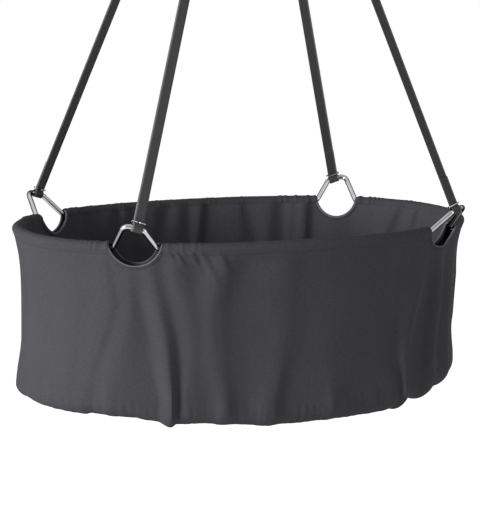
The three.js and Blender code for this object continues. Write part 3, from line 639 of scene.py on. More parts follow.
def soft_waves(walk, share, seed, height, most_drift=1.6, least=0.6, falloff=0.6, growth=3.0):
    """Slow unevenness of hanging cloth: a sum of waves round the rim whose phases drift with height."""
    chance = np.random.default_rng(seed)
    total = np.zeros(np.broadcast(walk, share).shape)
    for count in WAVE_COUNTS:
        phase = chance.uniform(0, 2 * math.pi)
        drift = chance.uniform(-most_drift, most_drift)
        size = chance.uniform(least, 1.0)
        turn = 2 * math.pi * count * walk / PERIMETER
        total = total + size * np.sin(turn + phase + drift * share) / count ** falloff
    return height * total * smooth(share * growth)


def rear_bulges(count=18, first=4.0, step=9.6, lean=2.5, least=0.4):
    """Degrees and shares of the bulges behind, where the photograph shows none."""
    chance = np.random.default_rng(11)
    places = []
    for place in range(count):
        degrees = first + step * place + chance.uniform(-lean, lean)
        places.append((degrees, chance.uniform(least, 1.0)))
    return places


def bulges(walk, share, width=0.0135, height=0.0030):
    """Soft bulges of the bottom edge, each exp(-(d/w)^2), that fade out upward, and small crisp ones."""
    total = np.zeros(np.broadcast(walk, share).shape)
    for degrees, size in (*FRONT_BULGE_SHARES, *rear_bulges()):
        distance = around(walk, walk_of(math.radians(degrees)))
        total = total + size * np.exp(-((distance / width) ** 2))
    soft = (total - BULGE_SUNK_SHARE) * smooth((share - BULGE_START_SHARE) / (1.0 - BULGE_START_SHARE))
    fine = sum(np.sin(2 * math.pi * count * walk / PERIMETER + count) for count in SMALL_BULGE_COUNTS)
    onset = smooth((share - SMALL_BULGE_START_SHARE) / SMALL_BULGE_RUN_SHARE)
    return height * (soft + SMALL_BULGE_SHARE * np.abs(fine) * onset)


def outer_relief(walk, share):
    """How far the outer canvas stands out of its plain form. Valleys v are limited to m tanh(v / m)."""
    total = between_lines(walk, share, OUTER_LINE_SHARES) * smooth(share / FOLD_START_SHARE)
    total = total + soft_waves(walk, share, **OUTER_WAVES) + bulges(walk, share)
    for given in RIM_GATHERS:
        total = total + gather(walk, share, **given)
    return np.where(total < 0, DEEPEST_VALLEY * np.tanh(total / DEEPEST_VALLEY), total)


def lining_relief(walk, share):
    """How far the lining stands in from its plain form, less where a fold stands out."""
    share = np.minimum(share, 1.0)
    folds = LINING_FOLD_SHARE * between_lines(walk, share, ALL_LINING_LINES)
    waves = LINING_WAVE_SHARE * soft_waves(walk, share + LINING_WAVE_SHIFT_SHARE, **LINING_WAVES)
    return -LINING_STAND_IN - folds - waves


# Walls of the basket

# Both walls: the depth and power of the fall from the rim roll to the waist, and where the belly begins
RIM_FALL = 0.038
RIM_FALL_POWER = 1.18
BELLY_START_SHARE = 0.68
BELLY_RUN_SHARE = 0.32

# Over what share of the height all relief comes in below the rim, and how far up the roll a place may lie
FOLD_ONSET_SHARE = 1 / 16
ROLL_LIMIT_SHARE = 0.999

# How much the folds fade round the bottom corner and along the seam, and how far the canvas returns under
CORNER_FADE_SHARE = 0.55
SEAM_FADE_SHARE = 0.6
SEAM_RETURN = 0.012

# The outer wall: its base above the solid's, its belly outside the rim's line, its rounder right end
OUTER_FLOOR_LIFT = 0.001
OUTER_BELLY = 0.0012
CORNER_GROWTH_SHARE = 0.35

# The lining: waist and belly inside the rim's line, bottom corner, and how its folds reach onto the roll
LINING_WAIST = -0.0160
LINING_BELLY = -0.0145
LINING_CORNER = 0.020
ROLLED_FOLD_SHARE = 0.45


def base_drop(x, bow):
    """How far the bowed base hangs below its ends: bow (1 - (x/a)^2)."""
    return bow * (1.0 - (x / HALF_LENGTH) ** 2)


class Wall:
    """One canvas wall: its plain form, its relief and the levels between which it hangs."""

    sag, corner_growth, rolled_folds = 0.0, 0.0, 0.0

    def __init__(self, side, waist, belly, floor_z, relief, notch, bow, corner):
        self.side, self.waist, self.belly = side, waist, belly
        self.floor_z, self.relief, self.notch = floor_z, relief, notch
        self.bow, self.corner = bow, corner

    def plain_offset(self, depth, share):
        """From the roll's radius R to the waist w as w + (R - w) exp(-(d/f)^p), and low down to the belly."""
        roll = self.side * HEM_RADIUS
        near_rim = np.exp(-((np.maximum(depth, 0.0) / RIM_FALL) ** RIM_FALL_POWER))
        low = smooth((share - BELLY_START_SHARE) / BELLY_RUN_SHARE)
        return self.waist + (roll - self.waist) * near_rim + (self.belly - self.waist) * low

    def corner_radius(self, angle):
        """The bottom corner is rounder toward the right end: r (1 + g x / a)."""
        return self.corner * (1.0 + self.corner_growth * oval(angle)[..., 0] / HALF_LENGTH)

    def corner_z(self, angle):
        """Where the upright part ends."""
        base_z = self.floor_z - base_drop(oval(angle)[..., 0], self.bow)
        return base_z + self.corner_radius(angle) - edge_sag(angle, self.sag)

    def seam_offset(self, angle, overlap):
        """Where the canvas that returns under the base ends, less the seam's overlap."""
        return self.belly - self.corner_radius(angle) - SEAM_RETURN + overlap

    def height(self, angle):
        """Rim to the start of the bottom corner."""
        return RIM_Z - self.corner_z(angle)

    def point(self, walk, depth, lift=0.0):
        """A place on the wall's upright part or on the rim roll above it, lifted off the cloth by a distance.

        depth is how far it lies below the rim's centre line; above that line the cloth follows the roll.
        """
        angle = angle_at(walk)
        depth, lift = np.broadcast_arrays(depth, lift)
        rise = np.clip(-depth, 0.0, HEM_RADIUS * ROLL_LIMIT_SHARE)
        share = np.maximum(depth, 0.0) / self.height(angle)
        relief = self.relief(walk, share)
        shown = smooth(share / FOLD_ONSET_SHARE + self.rolled_folds)
        hang = self.plain_offset(depth, share) + relief * shown + self.side * lift
        turn = np.arcsin(rise / HEM_RADIUS)
        roll = self.side * (HEM_RADIUS + lift) * np.cos(turn) + relief * shown * np.cos(turn) ** 2
        point = beside_rim(angle, np.where(depth >= 0, hang, roll), 0.0)
        point[..., 2] = RIM_Z + np.where(depth >= 0, -depth, (HEM_RADIUS + lift) * np.sin(turn))
        return point

    def sheet(self, name, columns, rows, corner_rows=10, inset=0.0009, top=0.003, crowding=1.15):
        """The whole wall with its rounded lower corner and the canvas that returns to the bottom seam."""
        angle = even_angles(columns)[None, :]
        walk = walk_of(angle)
        share = np.linspace(0.0, 1.0, rows)[:, None] ** crowding
        depth = top + share * (self.height(angle) - top)
        upright = self.point(np.broadcast_to(walk, (rows, columns)), depth, -inset)
        turn = np.linspace(0.0, math.pi / 2, corner_rows + 1)[1:, None]
        relief = self.relief(walk, np.ones_like(turn)) * (1.0 - CORNER_FADE_SHARE * np.sin(turn))
        plain = self.corner_radius(angle)
        radius = plain + relief * np.sin(turn)
        offset = self.belly - plain + radius * np.cos(turn) + relief * (1.0 - np.sin(turn)) * np.cos(turn)
        corner = beside_rim(np.broadcast_to(angle, offset.shape), offset - self.side * inset, 0.0)
        corner[..., 2] = self.corner_z(angle) - radius * np.sin(turn)
        run = np.linspace(0.0, 1.0, 4)[1:, None]
        seam = beside_rim(np.broadcast_to(angle, (3, columns)), self.belly - plain - SEAM_RETURN * run, 0.0)
        ease = 1.0 - SEAM_FADE_SHARE * run
        seam[..., 2] = self.corner_z(angle) - plain - relief[-1] * ease + edge_sag(angle, self.sag) * run
        points = np.concatenate([upright, corner, seam])
        around_rim = np.append(walk[0], PERIMETER)
        return grid_object(name, points, around_rim, path_lengths(points[:, 0]), wrap_columns=True)


def edge_sag(angle, sag):
    """How far the gathered edge droops below the base, from the table of its shares."""
    return sag * eased(np.degrees(angle) % 360.0, EDGE_SAG_SHARES)


def outer_wall(sizes):
    """The outer canvas, from the rim roll to the bottom seam."""
    floor_z = LOWEST_Z + sizes.base_bow + OUTER_FLOOR_LIFT
    notch = notch_arc(sizes.notch_width, sizes.notch_depth)
    wall = Wall(1, -sizes.waist, OUTER_BELLY, floor_z, outer_relief, notch, sizes.base_bow, sizes.corner)
    wall.sag, wall.corner_growth = sizes.edge_sag, CORNER_GROWTH_SHARE
    return wall


def lining_wall(sizes):
    """The lining canvas, inside the outer one. Its notches are narrower and lie close to the wire."""
    floor_z = MATTRESS_BOX[0].z + sizes.base_bow
    notch = notch_arc(sizes.inner_notch_width, sizes.inner_notch_depth)
    wall = Wall(-1, LINING_WAIST, LINING_BELLY, floor_z, lining_relief, notch, sizes.base_bow, LINING_CORNER)
    wall.rolled_folds = ROLLED_FOLD_SHARE
    return wall


def notch_arc(width, depth):
    """Radius of a notch and its centre's height over the rim's centre line."""
    radius = (width ** 2 / 4 + depth ** 2) / (2 * depth)
    return radius, HEM_RADIUS - depth + radius


def notch_half_width(notch, z):
    """Half a notch's width at height z over the rim's centre line: sqrt(R^2 - (c - z)^2), and R above c."""
    radius, rise = notch
    below = np.maximum(rise - z, 0.0)
    return np.sqrt(np.maximum(radius ** 2 - below ** 2, 0.0))


def notch_cutter(notch, corner, overrun=0.03, steps=64):
    """The round notch as a closed solid: a half circle with straight sides up, drawn through the wall."""
    radius, rise = notch
    turn = np.linspace(math.pi, 2 * math.pi, steps)
    u = np.concatenate([radius * np.cos(turn), [radius, -radius]])
    v = np.concatenate([rise + radius * np.sin(turn), [rise + overrun, rise + overrun]])
    angle = np.array(CORNERS[corner]["angle"])
    depth = np.array([-1.0, 1.0]) * (HEM_RADIUS + overrun)
    out = outward(angle)
    side = np.cross(UP, out)
    outline = u[:, None] * side + v[:, None] * UP
    points = oval(angle) + outline[None] + depth[:, None, None] * out
    return grid_object(f"cutter_{corner}", points[::-1], wrap_columns=True, caps=True)


def hem_points(sizes, outer, lining, first, second, columns=260, blend_share=0.3):
    """The rolled hem between two notches: down the outside, over the tube and down the inside.

    Section places go from the outer stitch line round the roll, a half circle, to the inner edge. Each
    place's ends lie on the notch's outline, outer or inner, blended across the top.
    """
    leg = np.linspace(sizes.hem_drop, 0.0, 12)[:-1]
    turn = np.linspace(0.0, math.pi, 27)
    inner_leg = np.linspace(0.0, sizes.inner_drop, 7)[1:]
    depth = np.concatenate([leg, -HEM_RADIUS * np.sin(turn), inner_leg])[:, None]
    side = np.concatenate([np.ones(len(leg)), np.cos(turn), -np.ones(len(inner_leg))])[:, None]
    outer_half = notch_half_width(outer.notch, -depth)
    inner_half = notch_half_width(lining.notch, -depth)
    half = inner_half + (outer_half - inner_half) * smooth((side + 1) / 2)
    start = walk_of(CORNERS[first]["angle"]) + half
    end = walk_of(CORNERS[second]["angle"]) - half
    end = np.where(end < start, end + PERIMETER, end)
    spread = np.linspace(0.0, 1.0, columns)[None, :]
    walk = start + (end - start) * spread
    near_end = np.minimum(walk - start, end - walk)
    reach = np.where(side > 0, sizes.hem_drop, sizes.inner_drop)
    lift = hem_lift(walk, near_end, depth, reach)
    outside = outer.point(walk, np.broadcast_to(depth, walk.shape), lift)
    inside = lining.point(walk, np.broadcast_to(depth, walk.shape), lift)
    blend = smooth((side + blend_share) / (2 * blend_share))[..., None]
    return outside * blend + inside * (1.0 - blend), walk


def hem_lift(walk, near_end, depth, reach, stand_off=0.0004, edge_sink=0.0001):
    """How far the hem's cloth stands off the wall: by its puckers, less toward its stitched edge."""
    ease = np.where(depth > 0, smooth(1.0 - depth / reach), 1.0)
    return (stand_off + puckers(walk, near_end)) * ease - edge_sink * (1.0 - ease)


PUCKER_COUNTS = (53, 71, 97, 131, 157)


def puckers(walk, near_end, everywhere=0.0002, more_behind=0.0003, more_by_notch=0.0012, notch_reach=0.045):
    """Small gathers along the rim: strong beside the notches, weaker behind, hardly any in front."""
    chance = np.random.default_rng(7)
    total = np.zeros_like(walk)
    for count in PUCKER_COUNTS:
        total = total + np.sin(2 * math.pi * count * walk / PERIMETER + chance.uniform(0, 6)) / 2
    behind = smooth(0.5 + outward(angle_at(walk))[..., 1])
    strength = everywhere + more_behind * behind + more_by_notch * np.exp(-((near_end / notch_reach) ** 2))
    return strength * np.sqrt(total ** 2 + 0.1)


# Section of a notch's bound edge: how far each place lies from the notch's edge, as a share of the band's
# width, and how far off the cloth, as a share of the binding's thickness
FACING_SHARES = (
    (1.04, -0.1), (0.98, 0.45), (0.86, 0.5), (0.80, 0.25), (0.74, 0.5), (0.4, 0.7), (0.12, 1.0), (0.0, 0.9),
    (-0.1, 0.4), (-0.14, -0.3), (-0.1, -1.0), (0.0, -1.4), (0.4, -1.3), (1.0, -1.2),
)
FACING_REACH_SHARES, FACING_LIFT_SHARES = np.array(FACING_SHARES).T

# How far up the rim roll the binding goes, and its thickness by the canvas's
FACING_TOP_SHARE = 0.92
BINDING_SHARE = 1.25


def facing_points(wall, corner, width, thickness, columns=72):
    """The bound edge at a notch: a flat band along the notch's outline that wraps over the canvas's edge.

    At arc share s and section place q it lies at radius R + w r(q) from the notch's centre, at the angle
    s acos((c - z_top) / radius), and off the cloth by l(q).
    """
    radius, rise = wall.notch
    top = HEM_RADIUS * FACING_TOP_SHARE
    reach = (radius + width * FACING_REACH_SHARES)[:, None]
    lift = (thickness * FACING_LIFT_SHARES)[:, None]
    limit = np.arccos(np.clip((rise - top) / reach, -1.0, 1.0))
    arc = np.linspace(-1.0, 1.0, columns)[None, :] * limit
    u = reach * np.sin(arc)
    depth = reach * np.cos(arc) - rise
    walk = walk_of(CORNERS[corner]["angle"]) + u
    points = wall.point(walk, depth, np.broadcast_to(lift, walk.shape))
    return points, arc[0] * radius, np.append(FACING_REACH_SHARES, FACING_REACH_SHARES[0]) * width


# Materials

def node(tree, kind, place, **values):
    """A shader node at a place, with its inputs or settings given by name."""
    made = tree.nodes.new(kind)
    made.location = place
    for name, value in values.items():
        if hasattr(made, name):
            setattr(made, name, value)
        else:
            made.inputs[name.replace("_", " ")].default_value = value
    return made


def group_node(tree, group, vector, place, **inputs):
    """A shared node group laid by a vector socket, with its other inputs given by name."""
    made = node(tree, "ShaderNodeGroup", place, node_tree=group, **inputs)
    tree.links.new(vector, made.inputs["Vector"])
    return made


def group_tree(name, inputs, outputs):
    """A shader node group with named sockets."""
    tree = bpy.data.node_groups.new(name, "ShaderNodeTree")
    for title, kind, default in inputs:
        socket = tree.interface.new_socket(name=title, in_out="INPUT", socket_type=kind)
        if default is not None:
            socket.default_value = default
    for title, kind in outputs:
        tree.interface.new_socket(name=title, in_out="OUTPUT", socket_type=kind)
    return tree, node(tree, "NodeGroupInput", (-900, 0)), node(tree, "NodeGroupOutput", (700, 0))


def math_node(tree, operation, first, second=None, place=(0, 0)):
    """A math node whose operands are numbers or sockets."""
    made = tree.nodes.new("ShaderNodeMath")
    made.operation = operation
    made.location = place
    for index, value in enumerate((first, second)):
        if value is None:
            continue
        if isinstance(value, (int, float)):
            made.inputs[index].default_value = value
        else:
            tree.links.new(value, made.inputs[index])
    return made.outputs[0]


def weave_group():
    """Plain weave: two families of threads, the product of whose waves picks which one lies on top."""
    tree, given, result = group_tree(
        "Plain Weave",
        [("Vector", "NodeSocketVector", None), ("Threads", "NodeSocketFloat", 900.0)],
        [("Height", "NodeSocketFloat"), ("Warp", "NodeSocketFloat")],
    )
    parts = node(tree, "ShaderNodeSeparateXYZ", (-700, 0))
    tree.links.new(given.outputs["Vector"], parts.inputs[0])
    turns = math_node(tree, "MULTIPLY", given.outputs["Threads"], math.pi, (-700, -200))
    waves = []
    for index in (0, 1):
        phase = math_node(tree, "MULTIPLY", parts.outputs[index], turns, (-500, -200 * index))
        waves.append(math_node(tree, "SINE", phase, None, (-300, -200 * index)))
    both = math_node(tree, "MULTIPLY", waves[0], waves[1], (-100, 0))
    first = math_node(tree, "ABSOLUTE", waves[0], None, (-100, -200))
    second = math_node(tree, "ABSOLUTE", waves[1], None, (-100, -400))
    round_threads = math_node(tree, "MULTIPLY", first, second, (100, -300))
    over = math_node(tree, "MULTIPLY_ADD", both, 0.25, (100, 0))
    over.node.inputs[2].default_value = 0.5
    height = math_node(tree, "ADD", round_threads, over, (300, -100))
    tree.links.new(height, result.inputs["Height"])
    tree.links.new(over, result.inputs["Warp"])
    return tree


def mottle_group():
    """Uneven dye and lint: a broad noise and a fine one, each a value about 0.5."""
    tree, given, result = group_tree(
        "Mottle",
        [
            ("Vector", "NodeSocketVector", None),
            ("Broad", "NodeSocketFloat", 9.0),
            ("Fine", "NodeSocketFloat", 420.0),
            ("Stretch", "NodeSocketVector", (1.0, 1.0, 1.0)),
        ],
        [("Broad", "NodeSocketFloat"), ("Fine", "NodeSocketFloat")],
    )
    scaled = node(tree, "ShaderNodeVectorMath", (-700, 0), operation="MULTIPLY")
    tree.links.new(given.outputs["Vector"], scaled.inputs[0])
    tree.links.new(given.outputs["Stretch"], scaled.inputs[1])
    for title, vector, y in (("Broad", given.outputs["Vector"], 0), ("Fine", scaled.outputs[0], -300)):
        noise = node(tree, "ShaderNodeTexNoise", (-300, y), Detail=3.0, Roughness=0.6)
        tree.links.new(vector, noise.inputs["Vector"])
        tree.links.new(given.outputs[title], noise.inputs["Scale"])
        tree.links.new(noise.outputs["Fac"], result.inputs[title])
    return tree


def emptied_tree(owner):
    """The node tree of a material or world, without its first nodes."""
    owner.use_nodes = True
    owner.node_tree.nodes.clear()
    return owner.node_tree


def show(tree, shader, kind="ShaderNodeOutputMaterial"):
    """Puts a shader on the tree's output."""
    tree.links.new(shader.outputs[0], node(tree, kind, (800, 0)).inputs["Surface"])


def new_material(name):
    """A material with a Principled shader on its output."""
    material = bpy.data.materials.new(name)
    tree = emptied_tree(material)
    shader = node(tree, "ShaderNodeBsdfPrincipled", (500, 0))
    show(tree, shader)
    return material, tree, shader


def grey(value):
    """A colour with all three channels alike."""
    return (value, value, value)


def tint(tree, value, low, high, place, stops=(0.3, 0.7)):
    """A colour ramp between two shades of a colour, by a value."""
    ramp = node(tree, "ShaderNodeValToRGB", place)
    for element, stop, colour in zip(ramp.color_ramp.elements, stops, (low, high)):
        element.position = stop
        element.color = (*colour, 1.0)
    tree.links.new(value, ramp.inputs[0])
    return ramp.outputs[0]


def shade(colour, factor):
    """A colour made darker or lighter."""
    return tuple(min(1.0, channel * factor) for channel in colour)


def mixed(tree, first, second, factor, place, blend="MIX"):
    """Two colours mixed by a factor."""
    mix = node(tree, "ShaderNodeMix", place, data_type="RGBA", blend_type=blend)
    for socket, value in ((mix.inputs[0], factor), (mix.inputs[6], first), (mix.inputs[7], second)):
        if isinstance(value, (int, float)):
            socket.default_value = value
        else:
            tree.links.new(value, socket)
    return mix.outputs[2]


def bump(tree, height, strength, distance, place, normal=None):
    """A bump node over a height."""
    made = node(tree, "ShaderNodeBump", place, Strength=strength, Distance=distance)
    tree.links.new(height, made.inputs["Height"])
    if normal is not None:
        tree.links.new(normal, made.inputs["Normal"])
    return made.outputs[0]


# Depth of the cloth's bump layers
CRUMPLE_DEPTH = 0.003
LINT_DEPTH = 0.0003
THREAD_DEPTH = 0.00025


def cloth_material(name, colour, weave, mottle, threads, roughness, contrast=0.05, sheen=0.0):
    """Woven cloth: threads, lint and uneven dye, with painted shade between the threads, on the piece's own
    UV map.
    """
    material, tree, shader = new_material(name)
    uv = node(tree, "ShaderNodeUVMap", (-900, 0), uv_map="UVMap").outputs[0]
    yarns = group_node(tree, weave, uv, (-600, 200), Threads=threads)
    lint = group_node(tree, mottle, uv, (-600, -200), Stretch=(0.3, 1.0, 1.0))
    darker, lighter = shade(colour, 1 - contrast), shade(colour, 1 + contrast)
    dye = tint(tree, lint.outputs["Broad"], darker, lighter, (-300, 0))
    fibres = tint(tree, lint.outputs["Fine"], grey(0.9), grey(1.1), (-300, -300))
    base = mixed(tree, dye, fibres, 1.0, (0, 0), "MULTIPLY")
    # Painted shade of the weave: darker between the threads, lighter on their tops, by the weave's height
    relief = tint(tree, yarns.outputs["Height"], grey(0.86), grey(1.1), (-300, 300))
    base = mixed(tree, base, relief, 1.0, (200, 100), "MULTIPLY")
    tree.links.new(base, shader.inputs["Base Color"])
    crumple = group_node(tree, mottle, uv, (-600, -500), Stretch=(1.0, 0.45, 1.0), Fine=38.0)
    soft = bump(tree, crumple.outputs["Fine"], 0.35, CRUMPLE_DEPTH, (-200, -500))
    coarse = bump(tree, lint.outputs["Fine"], 0.2, LINT_DEPTH, (0, -300), soft)
    fine = bump(tree, yarns.outputs["Height"], 0.6, THREAD_DEPTH, (200, -300), coarse)
    tree.links.new(fine, shader.inputs["Normal"])
    shader.inputs["Roughness"].default_value = roughness
    shader.inputs["Sheen Weight"].default_value = sheen
    shader.inputs["Sheen Roughness"].default_value = 0.5
    shader.inputs["Specular IOR Level"].default_value = 0.08
    return material


def on_object_coordinates(material):
    """Lays a cloth's pattern by object coordinates, for a piece without a UV map."""
    tree = material.node_tree
    place = node(tree, "ShaderNodeTexCoord", (-1100, 0))
    for given in [made for made in tree.nodes if made.type == "UVMAP"]:
        for link in list(given.outputs[0].links):
            tree.links.new(place.outputs["Object"], link.to_socket)
        tree.nodes.remove(given)


def painted_fold_highlight(material, width=0.0022):
    """Paints a highlight on the fold of a bound edge, where the UV map's second coordinate is within a width
    of 0.
    """
    tree = material.node_tree
    shader = tree.nodes["Principled BSDF"]
    uv = node(tree, "ShaderNodeUVMap", (-900, 600), uv_map="UVMap")
    parts = node(tree, "ShaderNodeSeparateXYZ", (-700, 600))
    tree.links.new(uv.outputs[0], parts.inputs[0])
    away = math_node(tree, "ABSOLUTE", math_node(tree, "MULTIPLY", parts.outputs[1], 1 / width, (-500, 600)))
    # Painted highlight: up to 2.3 times lighter along the fold, where the rounded edge would catch the light
    fold_highlight_ramp = tint(tree, away, grey(2.3), grey(1.0), (-300, 600))
    plain = shader.inputs["Base Color"].links[0].from_socket
    tree.links.new(mixed(tree, plain, fold_highlight_ramp, 1.0, (350, 300), "MULTIPLY"), shader.inputs["Base Color"])


def webbing_material(colour, mottle, rib=0.0012, pick=0.0011, painted_edge_highlight_start=0.0068):
    """Webbing: ribs along its length and cross picks, and a painted highlight along one edge, on the UV map.
    """
    material, tree, shader = new_material("Webbing")
    uv = node(tree, "ShaderNodeUVMap", (-1000, 0), uv_map="UVMap").outputs[0]
    parts = node(tree, "ShaderNodeSeparateXYZ", (-800, 0))
    tree.links.new(uv, parts.inputs[0])
    waves = []
    for index, pitch, strength in ((0, rib, 0.6), (1, pick, 0.4)):
        phase = math_node(tree, "MULTIPLY", parts.outputs[index], 2 * math.pi / pitch)
        waves.append(math_node(tree, "MULTIPLY", math_node(tree, "SINE", phase), strength))
    cord = math_node(tree, "ADD", *waves)
    lint = group_node(tree, mottle, uv, (-600, -300), Fine=700.0)
    dye = tint(tree, lint.outputs["Fine"], shade(colour, 0.78), shade(colour, 1.3), (-200, -100))
    # Painted shade of the ribs and picks: darker in their hollows, lighter on their tops
    lines = tint(tree, math_node(tree, "MULTIPLY_ADD", cord, 0.5), grey(0.8), grey(1.15), (-200, 200))
    base = mixed(tree, dye, lines, 1.0, (50, 0), "MULTIPLY")
    # Painted highlight: the strap's edge on one side is drawn up to 3.2 times lighter, where the key light
    # catches it
    reach = math_node(tree, "MULTIPLY", parts.outputs[0], -0.6 / painted_edge_highlight_start)
    painted_edge_highlight = tint(tree, reach, grey(1.0), grey(3.2), (-200, 500), (0.50, 0.64))
    base = mixed(tree, base, painted_edge_highlight, 1.0, (250, 100), "MULTIPLY")
    tree.links.new(base, shader.inputs["Base Color"])
    tree.links.new(bump(tree, cord, 0.7, THREAD_DEPTH, (200, -300)), shader.inputs["Normal"])
    shader.inputs["Roughness"].default_value = 0.82
    shader.inputs["Specular IOR Level"].default_value = 0.12
    return material


def steel_material(name, colour, roughness, mottle, smear_depth=0.0001):
    """Bright steel rod: its colour banded by how far it turns from the camera, a painted reflection with a
    bright band near its middle and dark edges, with faint smears in its gloss.
    """
    material, tree, shader = new_material(name)
    place = node(tree, "ShaderNodeTexCoord", (-900, 0)).outputs["Object"]
    smears = group_node(tree, mottle, place, (-600, 0), Broad=60.0, Fine=900.0)
    dull = math_node(tree, "MULTIPLY_ADD", smears.outputs["Broad"], 0.14, (-300, -200))
    dull.node.inputs[2].default_value = roughness - 0.07
    tree.links.new(dull, shader.inputs["Roughness"])
    tone = tint(tree, smears.outputs["Broad"], shade(colour, 0.9), shade(colour, 1.1), (-300, 100))
    # Painted reflection: the base colour is banded by how far the surface turns from the camera, bright a
    # little off the rod's middle and dark toward its edges
    turned = node(tree, "ShaderNodeLayerWeight", (-600, 400), Blend=0.5)
    painted_reflection_bands = tint(tree, turned.outputs["Facing"], grey(0.42), grey(0.10), (-300, 400), (0.03, 0.90))
    for stop, reflection_share in ((0.08, 0.5), (0.17, 1.0), (0.30, 0.75), (0.46, 0.16)):
        painted_reflection_bands.node.color_ramp.elements.new(stop).color = (*grey(reflection_share), 1.0)
    tree.links.new(mixed(tree, tone, painted_reflection_bands, 1.0, (0, 200), "MULTIPLY"), shader.inputs["Base Color"])
    shader.inputs["Specular Tint"].default_value = (*grey(0.15), 1.0)
    tree.links.new(bump(tree, smears.outputs["Fine"], 0.15, smear_depth, (0, -400)), shader.inputs["Normal"])
    shader.inputs["Metallic"].default_value = 1.0
    return material


def plywood_material(mottle, grain_depth=0.0004):
    """Birch plywood: long soft grain along the board."""
    material, tree, shader = new_material("Birch plywood")
    place = node(tree, "ShaderNodeTexCoord", (-900, 0)).outputs["Object"]
    grain = group_node(tree, mottle, place, (-600, 0), Broad=6.0, Fine=60.0, Stretch=(0.08, 1.0, 1.0))
    wood = tint(tree, grain.outputs["Fine"], (0.50, 0.36, 0.21), (0.66, 0.50, 0.32), (-300, 0))
    tree.links.new(wood, shader.inputs["Base Color"])
    tree.links.new(bump(tree, grain.outputs["Fine"], 0.2, grain_depth, (0, -300)), shader.inputs["Normal"])
    shader.inputs["Roughness"].default_value = 0.6
    return material


MATERIALS = {}


class CRADLE_OT_materials(bpy.types.Operator):
    """Make the finishes"""

    bl_idname = "cradle.materials"
    bl_label = "Finishes"

    def execute(self, context):
        colours = context.scene.cradle_colours
        weave, mottle = weave_group(), mottle_group()
        canvas, cotton, steel = tuple(colours.canvas), tuple(colours.mattress), tuple(colours.steel)
        # Name, colour, threads and roughness, and where it differs contrast and sheen
        cloths = {
            "canvas": ("Canvas", canvas, 900.0, 0.9),
            "hem": ("Hem canvas", canvas, 900.0, 0.9),
            # The lining is the same canvas drawn 8% lighter: painted light on the basket's inside
            "lining": ("Lining canvas", shade(canvas, 1.08), 900.0, 0.92),
            "binding": ("Canvas binding", canvas, 900.0, 0.9),
            "mattress": ("Mattress cotton", cotton, 1200.0, 0.9, 0.03, 0.15),
            "piping": ("Piping", shade(cotton, 0.85), 1600.0, 0.88),
            "thread": ("Thread", shade(canvas, 1.1), 2500.0, 0.7),
        }
        for key, (title, colour, *given) in cloths.items():
            MATERIALS[key] = cloth_material(title, colour, weave, mottle, *given)
        painted_fold_highlight(MATERIALS["binding"])
        on_object_coordinates(MATERIALS["mattress"])
        on_object_coordinates(MATERIALS["thread"])
        MATERIALS["webbing"] = webbing_material(tuple(colours.webbing), mottle)
        MATERIALS["steel"] = steel_material("Polished steel", steel, 0.18, mottle)
        MATERIALS["tube"] = steel_material("Tube steel", shade(steel, 0.7), 0.42, mottle)
        MATERIALS["plywood"] = plywood_material(mottle)
        return {"FINISHED"}


# Operators for the pieces

# The bottoms' overlap on the walls' returned canvas, how far they lie off the base, and their waves, which
# start at a share of the way out and grow over a share of it
SEAM_OVERLAP = 0.004
FLOOR_LIFT = 0.0006
FLOOR_LINING_DROP = 0.0016
BOTTOM_WAVES = {"seed": 31, "height": 0.0010}
FLOOR_LINING_WAVES = {"seed": 37, "height": 0.0004}
FLOOR_EDGE_SHARE = 0.7
FLOOR_EDGE_RUN_SHARE = 0.3

# A hem's thickness beside the canvas's
HEM_THICKNESS_SHARE = 0.9


class CRADLE_OT_walls(bpy.types.Operator):
    """Make the outer canvas and the lining"""

    bl_idname = "cradle.walls"
    bl_label = "Canvas walls"

    def execute(self, context):
        sizes = context.scene.cradle_basket
        walls = (
            ("outer_canvas", outer_wall(sizes), "outer_wall", "canvas", (720, 54)),
            ("lining_canvas", lining_wall(sizes), "lining_wall", "lining", (800, 44)),
        )
        for name, wall, replaced, material, grid in walls:
            made = wall.sheet(name, *grid)
            thicken(made, sizes.canvas, 0.0)
            cut_away(made, [notch_cutter(wall.notch, corner) for corner in CORNERS])
            finish_piece(made, MATERIALS[material], "basket", [replaced])
        return {"FINISHED"}


class CRADLE_OT_floors(bpy.types.Operator):
    """Make the bottom canvas and the lining canvas over the board"""

    bl_idname = "cradle.floors"
    bl_label = "Canvas floors"

    def execute(self, context):
        sizes = context.scene.cradle_basket
        bottom_z = LOWEST_Z + sizes.base_bow
        lining_z = MATTRESS_BOX[0].z + sizes.base_bow - FLOOR_LINING_DROP
        floors = (
            ("bottom_canvas", "outer_floor", "canvas", outer_wall(sizes), bottom_z, BOTTOM_WAVES),
            ("floor_lining", "lining_floor", "lining", lining_wall(sizes), lining_z, FLOOR_LINING_WAVES),
        )
        for name, replaced, material, wall, z, waves in floors:
            rim, points = self.surface(wall, z, waves, sizes.base_bow)
            made = grid_object(name, points, wrap_columns=True)
            self.flat_map(made)
            weld(made)
            thicken(made, sizes.canvas, 0.0)
            finish_piece(made, MATERIALS[material], "basket", [replaced])
        return {"FINISHED"}

    @staticmethod
    def surface(wall, z, waves, bow, columns=360, rows=48, crowding=0.8):
        """A bottom's outline and its points: that outline drawn in to the middle, bowed and waved."""
        angle = even_angles(columns)[None, :]
        share = np.linspace(1.0, 0.0, rows)[:, None] ** crowding
        rim = beside_rim(angle, wall.seam_offset(angle, SEAM_OVERLAP), z)
        points = rim * share[..., None]
        edge = smooth((share - FLOOR_EDGE_SHARE) / FLOOR_EDGE_RUN_SHARE)
        relief = edge * soft_waves(walk_of(angle), np.ones_like(share), **waves)
        points[..., 2] = z + FLOOR_LIFT - relief - base_drop(points[..., 0], bow)
        return rim[0], points

    @staticmethod
    def flat_map(made):
        """A UV map seen from straight above, in metres."""
        layer = made.data.uv_layers.new(name="UVMap")
        indices = np.zeros(len(made.data.loops), np.int32)
        made.data.loops.foreach_get("vertex_index", indices)
        layer.data.foreach_set("uv", vertex_places(made)[indices, :2].ravel())


